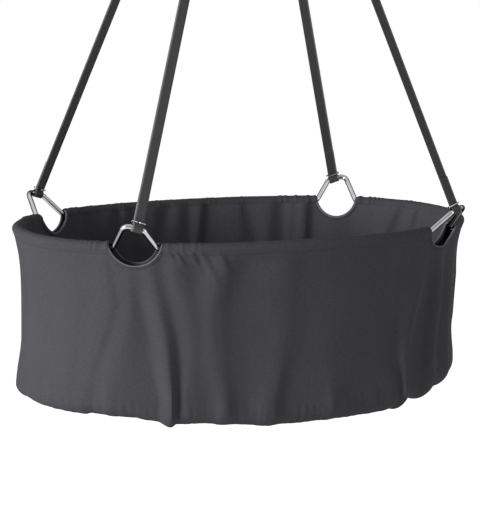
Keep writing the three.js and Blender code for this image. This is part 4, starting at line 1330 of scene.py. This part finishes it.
class CRADLE_OT_hems(bpy.types.Operator):
    """Make the four rolled hems over the rim"""

    bl_idname = "cradle.hems"
    bl_label = "Rim hems"

    def execute(self, context):
        sizes = context.scene.cradle_basket
        outer, lining = outer_wall(sizes), lining_wall(sizes)
        for name, (first, second) in RUNS.items():
            points, walk = hem_points(sizes, outer, lining, first, second)
            along = path_lengths(points[:, points.shape[1] // 2])
            made = grid_object(f"hem_{name}", points[::-1], walk[0], along[::-1])
            thicken(made, sizes.canvas * HEM_THICKNESS_SHARE)
            finish_piece(made, MATERIALS["hem"], "basket", [f"rim_hem_{name}"])
        return {"FINISHED"}


class CRADLE_OT_facings(bpy.types.Operator):
    """Make the bound edges of the four notches"""

    bl_idname = "cradle.facings"
    bl_label = "Notch facings"

    def execute(self, context):
        sizes = context.scene.cradle_basket
        thickness = BINDING_SHARE * sizes.canvas
        for label, wall in (("outer", outer_wall(sizes)), ("inner", lining_wall(sizes))):
            for corner in CORNERS:
                points, across, along = facing_points(wall, corner, sizes.facing, thickness)
                if wall.side < 0:
                    points, along = points[::-1], along[::-1]
                made = grid_object(f"notch_facing_{label}_{corner}", points, across, along, wrap_rows=True)
                self.close_ends(made, points.shape)
                finish_piece(made, MATERIALS["binding"], "basket")
                self.declare(made, wall, sizes)
        return {"FINISHED"}

    @staticmethod
    def declare(made, wall, sizes):
        """Does nothing: the strip is left as it is."""

    @staticmethod
    def close_ends(made, shape):
        """Fills the two ends of a band."""
        mesh = bmesh.new()
        mesh.from_mesh(made.data)
        mesh.verts.ensure_lookup_table()
        rows, columns = shape[:2]
        mesh.faces.new([mesh.verts[row * columns] for row in range(rows)])
        mesh.faces.new([mesh.verts[row * columns + columns - 1] for row in reversed(range(rows))])
        bmesh.ops.recalc_face_normals(mesh, faces=mesh.faces)
        mesh.to_mesh(made.data)
        mesh.free()
        made.data.shade_smooth()
        made.data.set_sharp_from_angle(angle=math.radians(50))


# Hangers and straps

# Between two straps on the top bar, and between a bar and the webbing round it
STRAP_GAP = 0.0006
LOOP_GAP = 0.0004

# Radii of a hanger's six bends from its outer plug to its inner one: mouth, foot, bar's end and the same back
HANGER_BENDS = (0.02, 0.010, 0.0115, 0.005, 0.010, 0.02)


def vector(array):
    """A numpy place as a Vector."""
    return Vector([float(value) for value in array])


class Hanger:
    """What lies on one corner's hanger: its feet, its leaning plane, its bar and its strap's line."""

    def __init__(self, sizes, corner):
        given = CORNERS[corner]
        self.sizes, self.corner = sizes, corner
        self.inner_foot = self.rim_at(given["inward"] * HANGER_SPAN / 2)
        self.outer_foot = self.rim_at(-given["inward"] * HANGER_SPAN / 2)
        self.middle = (self.inner_foot + self.outer_foot) / 2
        self.across = (self.inner_foot - self.outer_foot).normalized()
        out = vector(outward(np.array(given["angle"])))
        out = (out - self.across * out.dot(self.across)).normalized()
        self.rise = out * math.sin(sizes.lean) + Vector((0, 0, math.cos(sizes.lean)))
        self.bar_middle = self.middle + self.across * sizes.bar_shift + self.rise * sizes.bar_rise
        pitch = sizes.webbing_width + STRAP_GAP
        self.strap_top = Vector((given["place"] * pitch, 0.0, TOP_BAR_Z))
        self.pull = (self.strap_top - self.bar_middle).normalized()
        square_slope = math.atan2(self.across.dot(self.pull), self.rise.dot(self.pull))
        self.slope = square_slope + sizes.bar_tilt
        self.bar = self.across * math.cos(self.slope) - self.rise * math.sin(self.slope)

    def rim_at(self, distance):
        """The rim's centre line at a walk from the notch's middle."""
        return vector(oval(np.array(walked(CORNERS[self.corner]["angle"], distance))))

    def leg_corner(self, side):
        """Where a leg's line meets the bar's line; side is 1 for the inner leg and -1 for the outer."""
        leg_run = 1 / math.tan(self.sizes.leg)
        fall = math.tan(self.slope)
        foot = (self.inner_foot - self.outer_foot).length / 2
        height = self.sizes.bar_rise - fall * (side * foot - self.sizes.bar_shift)
        height /= 1 - side * fall * leg_run
        return self.middle + self.across * side * (foot - height * leg_run) + self.rise * height

    def plug(self, side, length=0.024, step=0.038):
        """A rod's mouth and end inside the rim tube."""
        way = CORNERS[self.corner]["inward"] * side
        mouth = self.rim_at(way * (HANGER_SPAN / 2 + TUBE_SETBACK))
        inside = self.rim_at(way * (HANGER_SPAN / 2 + TUBE_SETBACK + step))
        return mouth, mouth + (inside - mouth).normalized() * length


class CRADLE_OT_hangers(bpy.types.Operator):
    """Make the four wire hangers and their keepers"""

    bl_idname = "cradle.hangers"
    bl_label = "Wire hangers"

    def execute(self, context):
        sizes = context.scene.cradle_hangers
        for corner in CORNERS:
            hanger = Hanger(sizes, corner)
            outer_half = [*reversed(hanger.plug(-1)), hanger.outer_foot, hanger.leg_corner(-1)]
            inner_half = [hanger.leg_corner(1), hanger.inner_foot, *hanger.plug(1)]
            path = bent_path(outer_half + inner_half, HANGER_BENDS)
            normal = hanger.across.cross(hanger.rise)
            made = round_wire(f"hanger_wire_{corner}", path, sizes.rod / 2, normal, 28)
            finish_piece(made, MATERIALS["steel"], "basket", [f"wire_hanger_{corner}"])
            self.keeper(sizes, hanger)
        return {"FINISHED"}

    @staticmethod
    def keeper(
        sizes, hanger, wire=0.0011, seat=0.0102, side_gap=0.001, face_gap=0.0004, bend=0.0016, butt=0.0003
    ):
        """A rectangle of thin wire round both layers of the strap, its ends butted behind."""
        thick = hanger.bar.cross(hanger.pull).normalized()
        square = (hanger.pull - hanger.bar * hanger.pull.dot(hanger.bar)).normalized()
        drift = hanger.pull.dot(hanger.bar) / hanger.pull.dot(square)
        centre = hanger.bar_middle + square * seat + hanger.bar * drift * (seat - LOOP_NECK)
        half = sizes.webbing_width / 2 + side_gap + wire
        half_depth = sizes.webbing + face_gap + wire
        spots = ((butt, 1), (half, 1), (half, -1), (-half, -1), (-half, 1), (-butt, 1))
        corners = [centre + hanger.bar * width + thick * depth * half_depth for width, depth in spots]
        path = bent_path(corners, [bend] * 4, math.radians(15))
        made = round_wire(f"keeper_wire_{hanger.corner}", path, wire, hanger.pull, 14)
        finish_piece(made, MATERIALS["steel"], f"keeper_{hanger.corner}", [f"wire_keeper_{hanger.corner}"])


def strap_ends(hanger):
    """A strap's lower and upper end: a point on the bar, the bar's direction and the strap's direction."""
    top_direction = Vector((math.copysign(1.0, hanger.bar.x), 0.0, 0.0))
    return (hanger.bar_middle, hanger.bar, hanger.pull), (hanger.strap_top, top_direction, -hanger.pull)


def strap_axes(bar, direction):
    """An end's way square to its bar, its way through the strap, and its drift along the bar."""
    square = (direction - bar * direction.dot(bar)).normalized()
    return square, bar.cross(square), direction.dot(bar) / direction.dot(square)


def strap_path(sizes, hanger, neck=LOOP_NECK):
    """The strap's centre line from its lower tail round the bar, up to the top bar, round it and back down.

    Each end's loop lies in the plane square to its bar: a circle of radius R round the bar, its two tangents
    to the neck, and two layers half a thickness to each side of the strap's line. Returns centres and widths.
    """
    half = sizes.webbing / 2
    ring = sizes.rod / 2 + LOOP_GAP + half
    low, high_end = strap_ends(hanger)
    top_direction = high_end[1]
    centres, widths = [], []

    def loop(bar_point, bar, strap_direction):
        square, thick, drift = strap_axes(bar, strap_direction)
        touch = math.atan2(half, neck) + math.acos(ring / math.hypot(neck, half))
        runs = [(run, -half) for run in np.linspace(sizes.sewn, neck, 16)]
        turns = np.linspace(-touch, touch - 2 * math.pi, 26)
        runs += [(ring * math.cos(turn), ring * math.sin(turn)) for turn in turns]
        runs += [(run, half) for run in np.linspace(neck, sizes.sewn, 16)]
        for run, lift in runs:
            slip = drift * max(run - neck, 0.0)
            centres.append(bar_point + square * run + thick * lift + bar * slip)
            widths.append(bar)

    loop(*low)
    low_end = centres[-1]
    count = len(centres)
    loop(*high_end)
    high = centres[count:][::-1]
    high_widths = widths[count:][::-1]
    del centres[count:], widths[count:]
    first = high[0]
    for share in np.linspace(0.0, 1.0, 62)[1:-1]:
        ease = float(smooth(share))
        centres.append(low_end.lerp(first, float(share)))
        widths.append(hanger.bar.lerp(top_direction, ease).normalized())
    centres.extend(high)
    widths.extend(high_widths)
    return np.array([tuple(point) for point in centres]), np.array([tuple(side) for side in widths])


def ribbon(name, centres, widths, width, thickness):
    """Flat webbing: a section with rounded edges, w (u, v) across and through, carried along the path."""
    tangent = open_tangents(centres)
    side = unit(widths - tangent * np.sum(widths * tangent, axis=1, keepdims=True))
    through = np.cross(side, tangent)
    half_width, half = width / 2, thickness / 2
    edge = half_width - half
    turn = np.linspace(-math.pi / 2, math.pi / 2, 7)
    flat = np.linspace(edge, -edge, 9)[1:-1]
    u = np.concatenate([edge + half * np.cos(turn), flat, -edge - half * np.cos(turn), -flat])
    v = np.concatenate([half * np.sin(turn), np.full(7, half), -half * np.sin(turn), np.full(7, -half)])
    points = centres[:, None] + u[None, :, None] * side[:, None] + v[None, :, None] * through[:, None]
    return grid_object(name, points, np.append(u, u[0]), path_lengths(centres), wrap_columns=True, caps=True)


class CRADLE_OT_straps(bpy.types.Operator):
    """Make the four webbing straps"""

    bl_idname = "cradle.straps"
    bl_label = "Straps"

    def execute(self, context):
        sizes = context.scene.cradle_hangers
        for corner in CORNERS:
            hanger = Hanger(sizes, corner)
            centres, widths = strap_path(sizes, hanger)
            made = ribbon(f"webbing_{corner}", centres, widths, sizes.webbing_width, sizes.webbing)
            finish_piece(made, MATERIALS["webbing"], "basket", [f"strap_{corner}"])
        return {"FINISHED"}


class CRADLE_OT_top(bpy.types.Operator):
    """Make the top hanger and the spring hook"""

    bl_idname = "cradle.top"
    bl_label = "Top hanger and hook"

    def execute(self, context):
        sizes = context.scene.cradle_hangers
        bend = 0.012
        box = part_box("top_hanger")
        bar_end = box[1].x - bend - sizes.rod / 2
        apex_z = box[1].z - sizes.rod / 2
        slope = math.atan2(apex_z - TOP_BAR_Z - 2 * bend, bar_end)
        corner_x = bar_end + bend / math.tan(slope / 2)
        peak_z = apex_z + bend * (1 / math.cos(slope) - 1)
        spots = ((0, TOP_BAR_Z), (corner_x, TOP_BAR_Z), (0, peak_z), (-corner_x, TOP_BAR_Z), (0, TOP_BAR_Z))
        path = bent_path([Vector((x, 0, z)) for x, z in spots], [bend] * 3)
        made = round_wire("triangle_wire", path[:-1], sizes.rod / 2, (0, 1, 0), 28, closed=True)
        finish_piece(made, MATERIALS["steel"], "top_hanger", ["top_hanger"])
        self.hook()
        return {"FINISHED"}

    @staticmethod
    def hook(rod=0.004, nose=0.005, half=0.0023, half_depth=0.0012, tongue_rise=0.0010, shortest=1e-6):
        """The hook's rod: two bows, a spine behind, and two noses that face each other across the gate.

        The gate's pin sits in a tongue on the lower nose: a flat plate with a round top.
        """
        bow = HOOK_BOX[1].y - rod
        top = HOOK_BOX[1].z - rod
        upper = top - bow - nose
        lower = HOOK_LOW_Z + bow + nose
        spots = ((-bow, upper), (-bow, top), (bow, top), (bow, HOOK_LOW_Z), (-bow, HOOK_LOW_Z), (-bow, lower))
        path = bent_path([Vector((0, y, z)) for y, z in spots], [bow] * 4)
        keep = np.ones(len(path), bool)
        keep[1:] = np.linalg.norm(np.diff(path, axis=0), axis=1) > shortest
        made = round_wire("hook_rod", path[keep], rod, (1, 0, 0), 28)
        finish_piece(made, MATERIALS["steel"], "hook", ["hook_body"])
        turn = np.linspace(0.0, math.pi, 13)
        y = np.concatenate([half * np.cos(turn), [-half, half]])
        z = np.concatenate([GATE_PIVOT.z + half * np.sin(turn) + tongue_rise, [lower - nose / 2] * 2])
        outline = np.stack([np.zeros_like(y), y - bow, z], axis=-1)
        across = np.array([-half_depth, half_depth])[:, None, None] * np.array([1.0, 0.0, 0.0])
        made = grid_object("hook_tongue", outline[None] + across, wrap_columns=True, caps=True)
        made.data.set_sharp_from_angle(angle=math.radians(40))
        finish_piece(made, MATERIALS["steel"], "hook")


# The mattress at its edge, and how far each piping lies from its lower or upper face
PAD_THICKNESS = 0.037
PIPING_RISE = 0.007


class CRADLE_OT_mattress(bpy.types.Operator):
    """Make the mattress"""

    bl_idname = "cradle.mattress"
    bl_label = "Mattress"

    def execute(self, context):
        sizes = context.scene.cradle_basket
        low = MATTRESS_BOX[0].z + sizes.base_bow
        made = grid_object("mattress_pad", self.pad(low, sizes.base_bow)[::-1], wrap_columns=True)
        weld(made)
        puff(made, voxel=0.008, pressure=4.0, cap=0.006)
        self.rest(made, low, sizes.base_bow)
        smoothed = made.modifiers.new("Smooth", "SUBSURF")
        smoothed.levels = smoothed.render_levels = 1
        apply_modifiers(made)
        made.data.shade_smooth()
        finish_piece(made, MATERIALS["mattress"], "mattress", ["mattress"])
        for label, height in (("lower", PIPING_RISE), ("upper", PAD_THICKNESS - PIPING_RISE)):
            self.piping(made, label, low + height, sizes.base_bow)
        return {"FINISHED"}

    @staticmethod
    def pad(low, bow, edge=0.015, inset=0.0275, crown=0.004, crown_rise=2.2, columns=240):
        """Rings from the middle of the underside out, up the rounded side and in to the middle of the top.

        On top, a ring at share s of the way out lies at t + c smooth(k (1 - s)), for thickness t and crown c.
        """
        turn = np.linspace(-math.pi / 2, math.pi / 2, 17)
        side_offset = -inset - edge * (1.0 - np.cos(turn))
        side_z = np.where(turn < 0, edge + edge * np.sin(turn), PAD_THICKNESS - edge + edge * np.sin(turn))
        under_share = np.linspace(0.0, 1.0, 16)[:-1]
        top_share = np.linspace(1.0, 0.0, 22)[1:]
        angle = even_angles(columns)
        flat = beside_rim(angle, np.full_like(angle, -inset - edge), 0.0)
        rings = [flat * share for share in under_share]
        rings += [beside_rim(angle, np.full_like(angle, offset), 0.0) for offset in side_offset]
        rings += [flat * share for share in top_share]
        points = np.array(rings)
        top_z = low + PAD_THICKNESS + crown * smooth((1.0 - top_share) * crown_rise)
        level = np.concatenate([np.full_like(under_share, low), low + side_z, top_z])
        points[..., 2] = level[:, None] - base_drop(points[..., 0], bow)
        return points

    @staticmethod
    def rest(made, low, bow):
        """Keeps the underside on the bowed board."""
        places = vertex_places(made)
        places[:, 2] = np.maximum(places[:, 2], low - base_drop(places[:, 0], bow))
        made.data.vertices.foreach_set("co", places.ravel())

    @staticmethod
    def piping(pad, label, z, bow, radius=0.0021, reach=0.08, sunk_share=0.4):
        """A corded seam round the pad's side, laid where the side is found at that height."""
        tree = BVHTree.FromObject(pad, bpy.context.evaluated_depsgraph_get())
        path = []
        for angle in even_angles(300):
            out = vector(outward(angle))
            start = vector(beside_rim(angle, 0.0, z))
            start.z -= base_drop(start.x, bow)
            hit = tree.ray_cast(start, -out, reach)[0]
            if hit is None:
                raise RuntimeError("The mattress's side wasn't found.")
            path.append(hit + out * sunk_share * radius)
        made = round_wire(f"mattress_piping_{label}", np.array(path), radius, (0, 0, 1), 10, closed=True)
        finish_piece(made, MATERIALS["piping"], "mattress")


class CRADLE_OT_metal(bpy.types.Operator):
    """Give the carried-over nodes their finishes"""

    bl_idname = "cradle.metal"
    bl_label = "Carried-over nodes"

    def execute(self, context):
        finishes = {"hook_gate": "steel", "hook_gate_pin": "steel", "base_board": "plywood"}
        finishes.update({f"rim_tube_{run}": "tube" for run in RUNS})
        for name, finish in finishes.items():
            node_object = frame["nodes"][name]
            for slot in node_object.material_slots:
                slot.material = MATERIALS[finish]
        return {"FINISHED"}


def seen_directly(tree):
    """1 for what the camera sees straight or in a reflection or through glass, else 0."""
    path = node(tree, "ShaderNodeLightPath", (-800, 300))
    seen = path.outputs["Is Camera Ray"]
    for title in ("Is Glossy Ray", "Is Transmission Ray"):
        seen = math_node(tree, "MAXIMUM", seen, path.outputs[title], (-500, 300))
    return seen


LIGHTS = (
    {"name": "key", "place": (-6.2, -1.35, 1.0), "size": 1.9, "power": 385.0},
    {"name": "fill", "place": (2.3, -3.2, 0.7), "size": 1.6, "power": 20.0},
)


class CRADLE_OT_stage(bpy.types.Operator):
    """Make the floor, the light and the camera"""

    bl_idname = "cradle.stage"
    bl_label = "Stage"

    def execute(self, context):
        self.floor()
        self.light()
        self.world(context.scene)
        self.camera(context.scene)
        context.scene.view_settings.view_transform = "Standard"
        return {"FINISHED"}

    @staticmethod
    def floor(half_size=12.0, drop=0.45):
        """A pale floor below the basket; seen by the camera and in reflections it is nearly white."""
        mesh = bpy.data.meshes.new("floor")
        spots = ((-1, -1), (1, -1), (1, 1), (-1, 1))
        corners = [(x * half_size, y * half_size, LOWEST_Z - drop) for x, y in spots]
        mesh.from_pydata(corners, [], [(0, 1, 2, 3)])
        made = add_object("floor", mesh)
        material = bpy.data.materials.new("Pale floor")
        tree = emptied_tree(material)
        pale = node(tree, "ShaderNodeBsdfDiffuse", (-200, 0), Color=(*grey(0.86), 1.0))
        glow = node(tree, "ShaderNodeEmission", (-200, -200), Color=(*grey(1.0), 1.0))
        strength = math_node(tree, "MULTIPLY", seen_directly(tree), 0.80, (-400, -200))
        tree.links.new(strength, glow.inputs["Strength"])
        both = node(tree, "ShaderNodeAddShader", (0, 0))
        tree.links.new(pale.outputs[0], both.inputs[0])
        tree.links.new(glow.outputs[0], both.inputs[1])
        show(tree, both)
        mesh.materials.append(material)

    @staticmethod
    def light():
        """Soft boxes turned to the rim's middle: a key from the camera's left, a weak fill from its right."""
        middle = Vector((0.0, 0.0, RIM_Z))
        for given in LIGHTS:
            data = bpy.data.lights.new(given["name"], "AREA")
            data.size = given["size"]
            data.energy = given["power"]
            made = add_object(given["name"], data)
            made.location = middle + Vector(given["place"])
            made.rotation_euler = (middle - made.location).to_track_quat("-Z", "Y").to_euler()

    @staticmethod
    def world(scene):
        """An even grey surround, white where the camera or a reflection sees it."""
        world = bpy.data.worlds.new("Surround")
        tree = emptied_tree(world)
        background = node(tree, "ShaderNodeBackground", (0, 0), Color=(*grey(1.0), 1.0))
        strength = math_node(tree, "MULTIPLY_ADD", seen_directly(tree), 0.78, (-200, 0))
        strength.node.inputs[2].default_value = 0.22
        tree.links.new(strength, background.inputs["Strength"])
        show(tree, background, "ShaderNodeOutputWorld")
        scene.world = world

    @staticmethod
    def camera(scene):
        """The photograph's camera."""
        data = bpy.data.cameras.new("camera")
        data.sensor_width = SENSOR_WIDTH
        data.lens = CAMERA_FOCUS_PIXELS * SENSOR_WIDTH / PHOTO_HEIGHT
        data.clip_end = 100.0
        ahead = Vector((
            math.sin(CAMERA_YAW) * math.cos(CAMERA_PITCH),
            math.cos(CAMERA_YAW) * math.cos(CAMERA_PITCH),
            -math.sin(CAMERA_PITCH),
        ))
        level = Vector((math.cos(CAMERA_YAW), -math.sin(CAMERA_YAW), 0.0))
        upward = level.cross(ahead)
        right = level * math.cos(CAMERA_ROLL) + upward * math.sin(CAMERA_ROLL)
        top = upward * math.cos(CAMERA_ROLL) - level * math.sin(CAMERA_ROLL)
        turn = Matrix((right, top, -ahead)).transposed()
        made = add_object("camera", data)
        place = Vector(CAMERA_PLACE) + Vector((0, 0, RIM_Z))
        made.matrix_world = Matrix.Translation(place) @ turn.to_4x4()
        scene.camera = made


def stitch_rows(name, starts, ends, out, radius=0.00035, sides=5):
    """Thread stitches: each a spindle from a start a to an end b that sinks in at both ends.

    At share s its ring is centred at a + (b - a) s and has radius r w(s), flattened outward.
    """
    shares = np.array([0.0, 0.25, 0.75, 1.0])[None, :, None]
    swell = np.array([0.3, 1.0, 1.0, 0.3])[None, :, None, None]
    flatness = 0.7
    along = unit(ends - starts)
    aside = np.cross(along, out)
    turn = np.linspace(0.0, 2 * math.pi, sides, endpoint=False)[None, None, :, None]
    centres = starts[:, None] + (ends - starts)[:, None] * shares
    ring = np.cos(turn) * aside[:, None, None] + flatness * np.sin(turn) * out[:, None, None]
    points = centres[:, :, None] + radius * swell * ring
    count = len(starts)
    first = (np.arange(count) * 4 * sides)[:, None, None]
    level = (np.arange(3) * sides)[None, :, None]
    place = np.arange(sides)[None, None, :]
    after = (place + 1) % sides
    base = first + level
    quads = [base + place, base + after, base + sides + after, base + sides + place]
    faces = np.stack(quads, axis=-1).reshape(-1, 4).tolist()
    ends_low = (first[:, 0] + np.arange(sides)[None, ::-1]).tolist()
    ends_high = (first[:, 0] + 3 * sides + np.arange(sides)[None, :]).tolist()
    mesh = bpy.data.meshes.new(name)
    mesh.from_pydata(points.reshape(-1, 3).tolist(), [], faces + ends_low + ends_high)
    mesh.shade_smooth()
    return add_object(name, mesh)


class CRADLE_OT_stitches(bpy.types.Operator):
    """Make the thread: along the hems, round the notches and in boxes on the straps' ends"""

    bl_idname = "cradle.stitches"
    bl_label = "Stitches"

    stitch = 0.0032
    spare = 0.0009
    edge_gap = 0.0025
    face_share = 0.45
    band_share = 0.8
    top_share = 0.5

    def execute(self, context):
        sizes, hangers = context.scene.cradle_basket, context.scene.cradle_hangers
        outer = outer_wall(sizes)
        for name, (first, second) in RUNS.items():
            self.finish(f"hem_stitches_{name}", "canvas", *self.hem_row(sizes, outer, first, second))
        for corner in CORNERS:
            self.finish(f"notch_stitches_{corner}", "canvas", *self.notch_row(sizes, outer, corner))
            boxes = self.strap_boxes(hangers, Hanger(hangers, corner))
            self.finish(f"strap_stitches_{corner}", "webbing", *boxes)
        return {"FINISHED"}

    @staticmethod
    def finish(name, slot, starts, ends, out):
        """Sews a row of stitches."""
        made = stitch_rows(name, starts, ends, out)
        finish_piece(made, MATERIALS["thread"], "basket")

    def split(self, length):
        """Starts and ends of the stitches along a length."""
        count = max(1, int(length / self.stitch))
        edges = np.linspace(0.0, length, count + 1)
        return edges[:-1] + self.spare / 2, edges[1:] - self.spare / 2

    def hem_row(self, sizes, outer, first, second):
        """A row just above the hem's lower edge."""
        depth = sizes.hem_drop - self.edge_gap
        half = float(notch_half_width(outer.notch, -depth)) + sizes.facing
        start = float(walk_of(CORNERS[first]["angle"])) + half
        end = float(walk_of(CORNERS[second]["angle"])) - half
        end = end if end > start else end + PERIMETER
        spots = []
        for place in self.split(end - start):
            walk = start + place
            near_end = np.minimum(walk - start, start + end - start - walk) + sizes.facing
            lift = hem_lift(walk, near_end, depth, sizes.hem_drop)
            spots.append(outer.point(walk, np.full_like(walk, depth), lift))
        return spots[0], spots[1], outward(angle_at(start + self.split(end - start)[0]))

    def notch_row(self, sizes, outer, corner):
        """A row round the notch, on the band's outer edge."""
        radius, rise = outer.notch
        reach = radius + self.band_share * sizes.facing
        limit = math.acos((rise - HEM_RADIUS * self.top_share) / reach)
        middle = float(walk_of(CORNERS[corner]["angle"]))
        spots = []
        for place in self.split(2 * limit * reach):
            turn = place / reach - limit
            lift = np.full_like(turn, self.face_share * BINDING_SHARE * sizes.canvas)
            spots.append(outer.point(middle + reach * np.sin(turn), reach * np.cos(turn) - rise, lift))
        out = outward(angle_at(np.full(len(spots[0]), middle)))
        return spots[0], spots[1], out

    def strap_boxes(self, sizes, hanger, half_width=0.0058, margin=0.004):
        """On both faces of both ends, a box with a cross between the bar and the doubled part's end."""
        starts, ends, outs = [], [], []
        low, high = LOOP_NECK + margin, sizes.sewn - margin
        corners = [(low, -half_width), (high, -half_width), (high, half_width), (low, half_width)]
        lines = [(corners[place], corners[(place + 1) % 4]) for place in range(4)]
        lines += [(corners[0], corners[2]), (corners[1], corners[3])]
        for bar_point, bar, direction in strap_ends(hanger):
            square, thick, drift = strap_axes(bar, direction)
            for face in (-1, 1):
                for (run_1, wide_1), (run_2, wide_2) in lines:
                    length = math.hypot(run_2 - run_1, wide_2 - wide_1)
                    for spots, shares in zip((starts, ends), self.split(length)):
                        run = run_1 + (run_2 - run_1) * shares / length
                        wide = wide_1 + (wide_2 - wide_1) * shares / length
                        slip = wide + drift * (run - LOOP_NECK)
                        spots.append(
                            np.array(bar_point)
                            + np.outer(run, square)
                            + np.outer(slip, bar)
                            + np.array(thick) * face * sizes.webbing
                        )
                    outs.append(np.broadcast_to(np.array(thick) * face, spots[-1].shape))
        return np.concatenate(starts), np.concatenate(ends), np.concatenate(outs)


STEPS = (
    CRADLE_OT_materials,
    CRADLE_OT_walls,
    CRADLE_OT_floors,
    CRADLE_OT_hems,
    CRADLE_OT_facings,
    CRADLE_OT_hangers,
    CRADLE_OT_straps,
    CRADLE_OT_stitches,
    CRADLE_OT_top,
    CRADLE_OT_mattress,
    CRADLE_OT_metal,
    CRADLE_OT_stage,
)


class CRADLE_PT_panel(bpy.types.Panel):
    """Lists the cradle's sizes, colours and steps"""

    bl_idname = "CRADLE_PT_panel"
    bl_label = "Hanging cradle"
    bl_space_type = "VIEW_3D"
    bl_region_type = "UI"
    bl_category = "Cradle"

    def draw(self, context):
        scene = context.scene
        for group in (scene.cradle_basket, scene.cradle_hangers, scene.cradle_colours):
            for name in group.__annotations__:
                self.layout.prop(group, name)
        for step in STEPS:
            self.layout.operator(step.bl_idname)


GROUPS = {"cradle_basket": BasketSizes, "cradle_hangers": HangerSizes, "cradle_colours": CradleColours}


def register():
    for group in GROUPS.values():
        bpy.utils.register_class(group)
    for name, group in GROUPS.items():
        setattr(bpy.types.Scene, name, bpy.props.PointerProperty(type=group))
    for step in STEPS:
        bpy.utils.register_class(step)
    bpy.utils.register_class(CRADLE_PT_panel)


def unregister():
    bpy.utils.unregister_class(CRADLE_PT_panel)
    for step in reversed(STEPS):
        bpy.utils.unregister_class(step)
    for name in GROUPS:
        delattr(bpy.types.Scene, name)
    for group in GROUPS.values():
        bpy.utils.unregister_class(group)


def main():
    register()
    for step in STEPS:
        area, name = step.bl_idname.split(".")
        getattr(getattr(bpy.ops, area), name)()


if __name__ == "__main__":
    main()
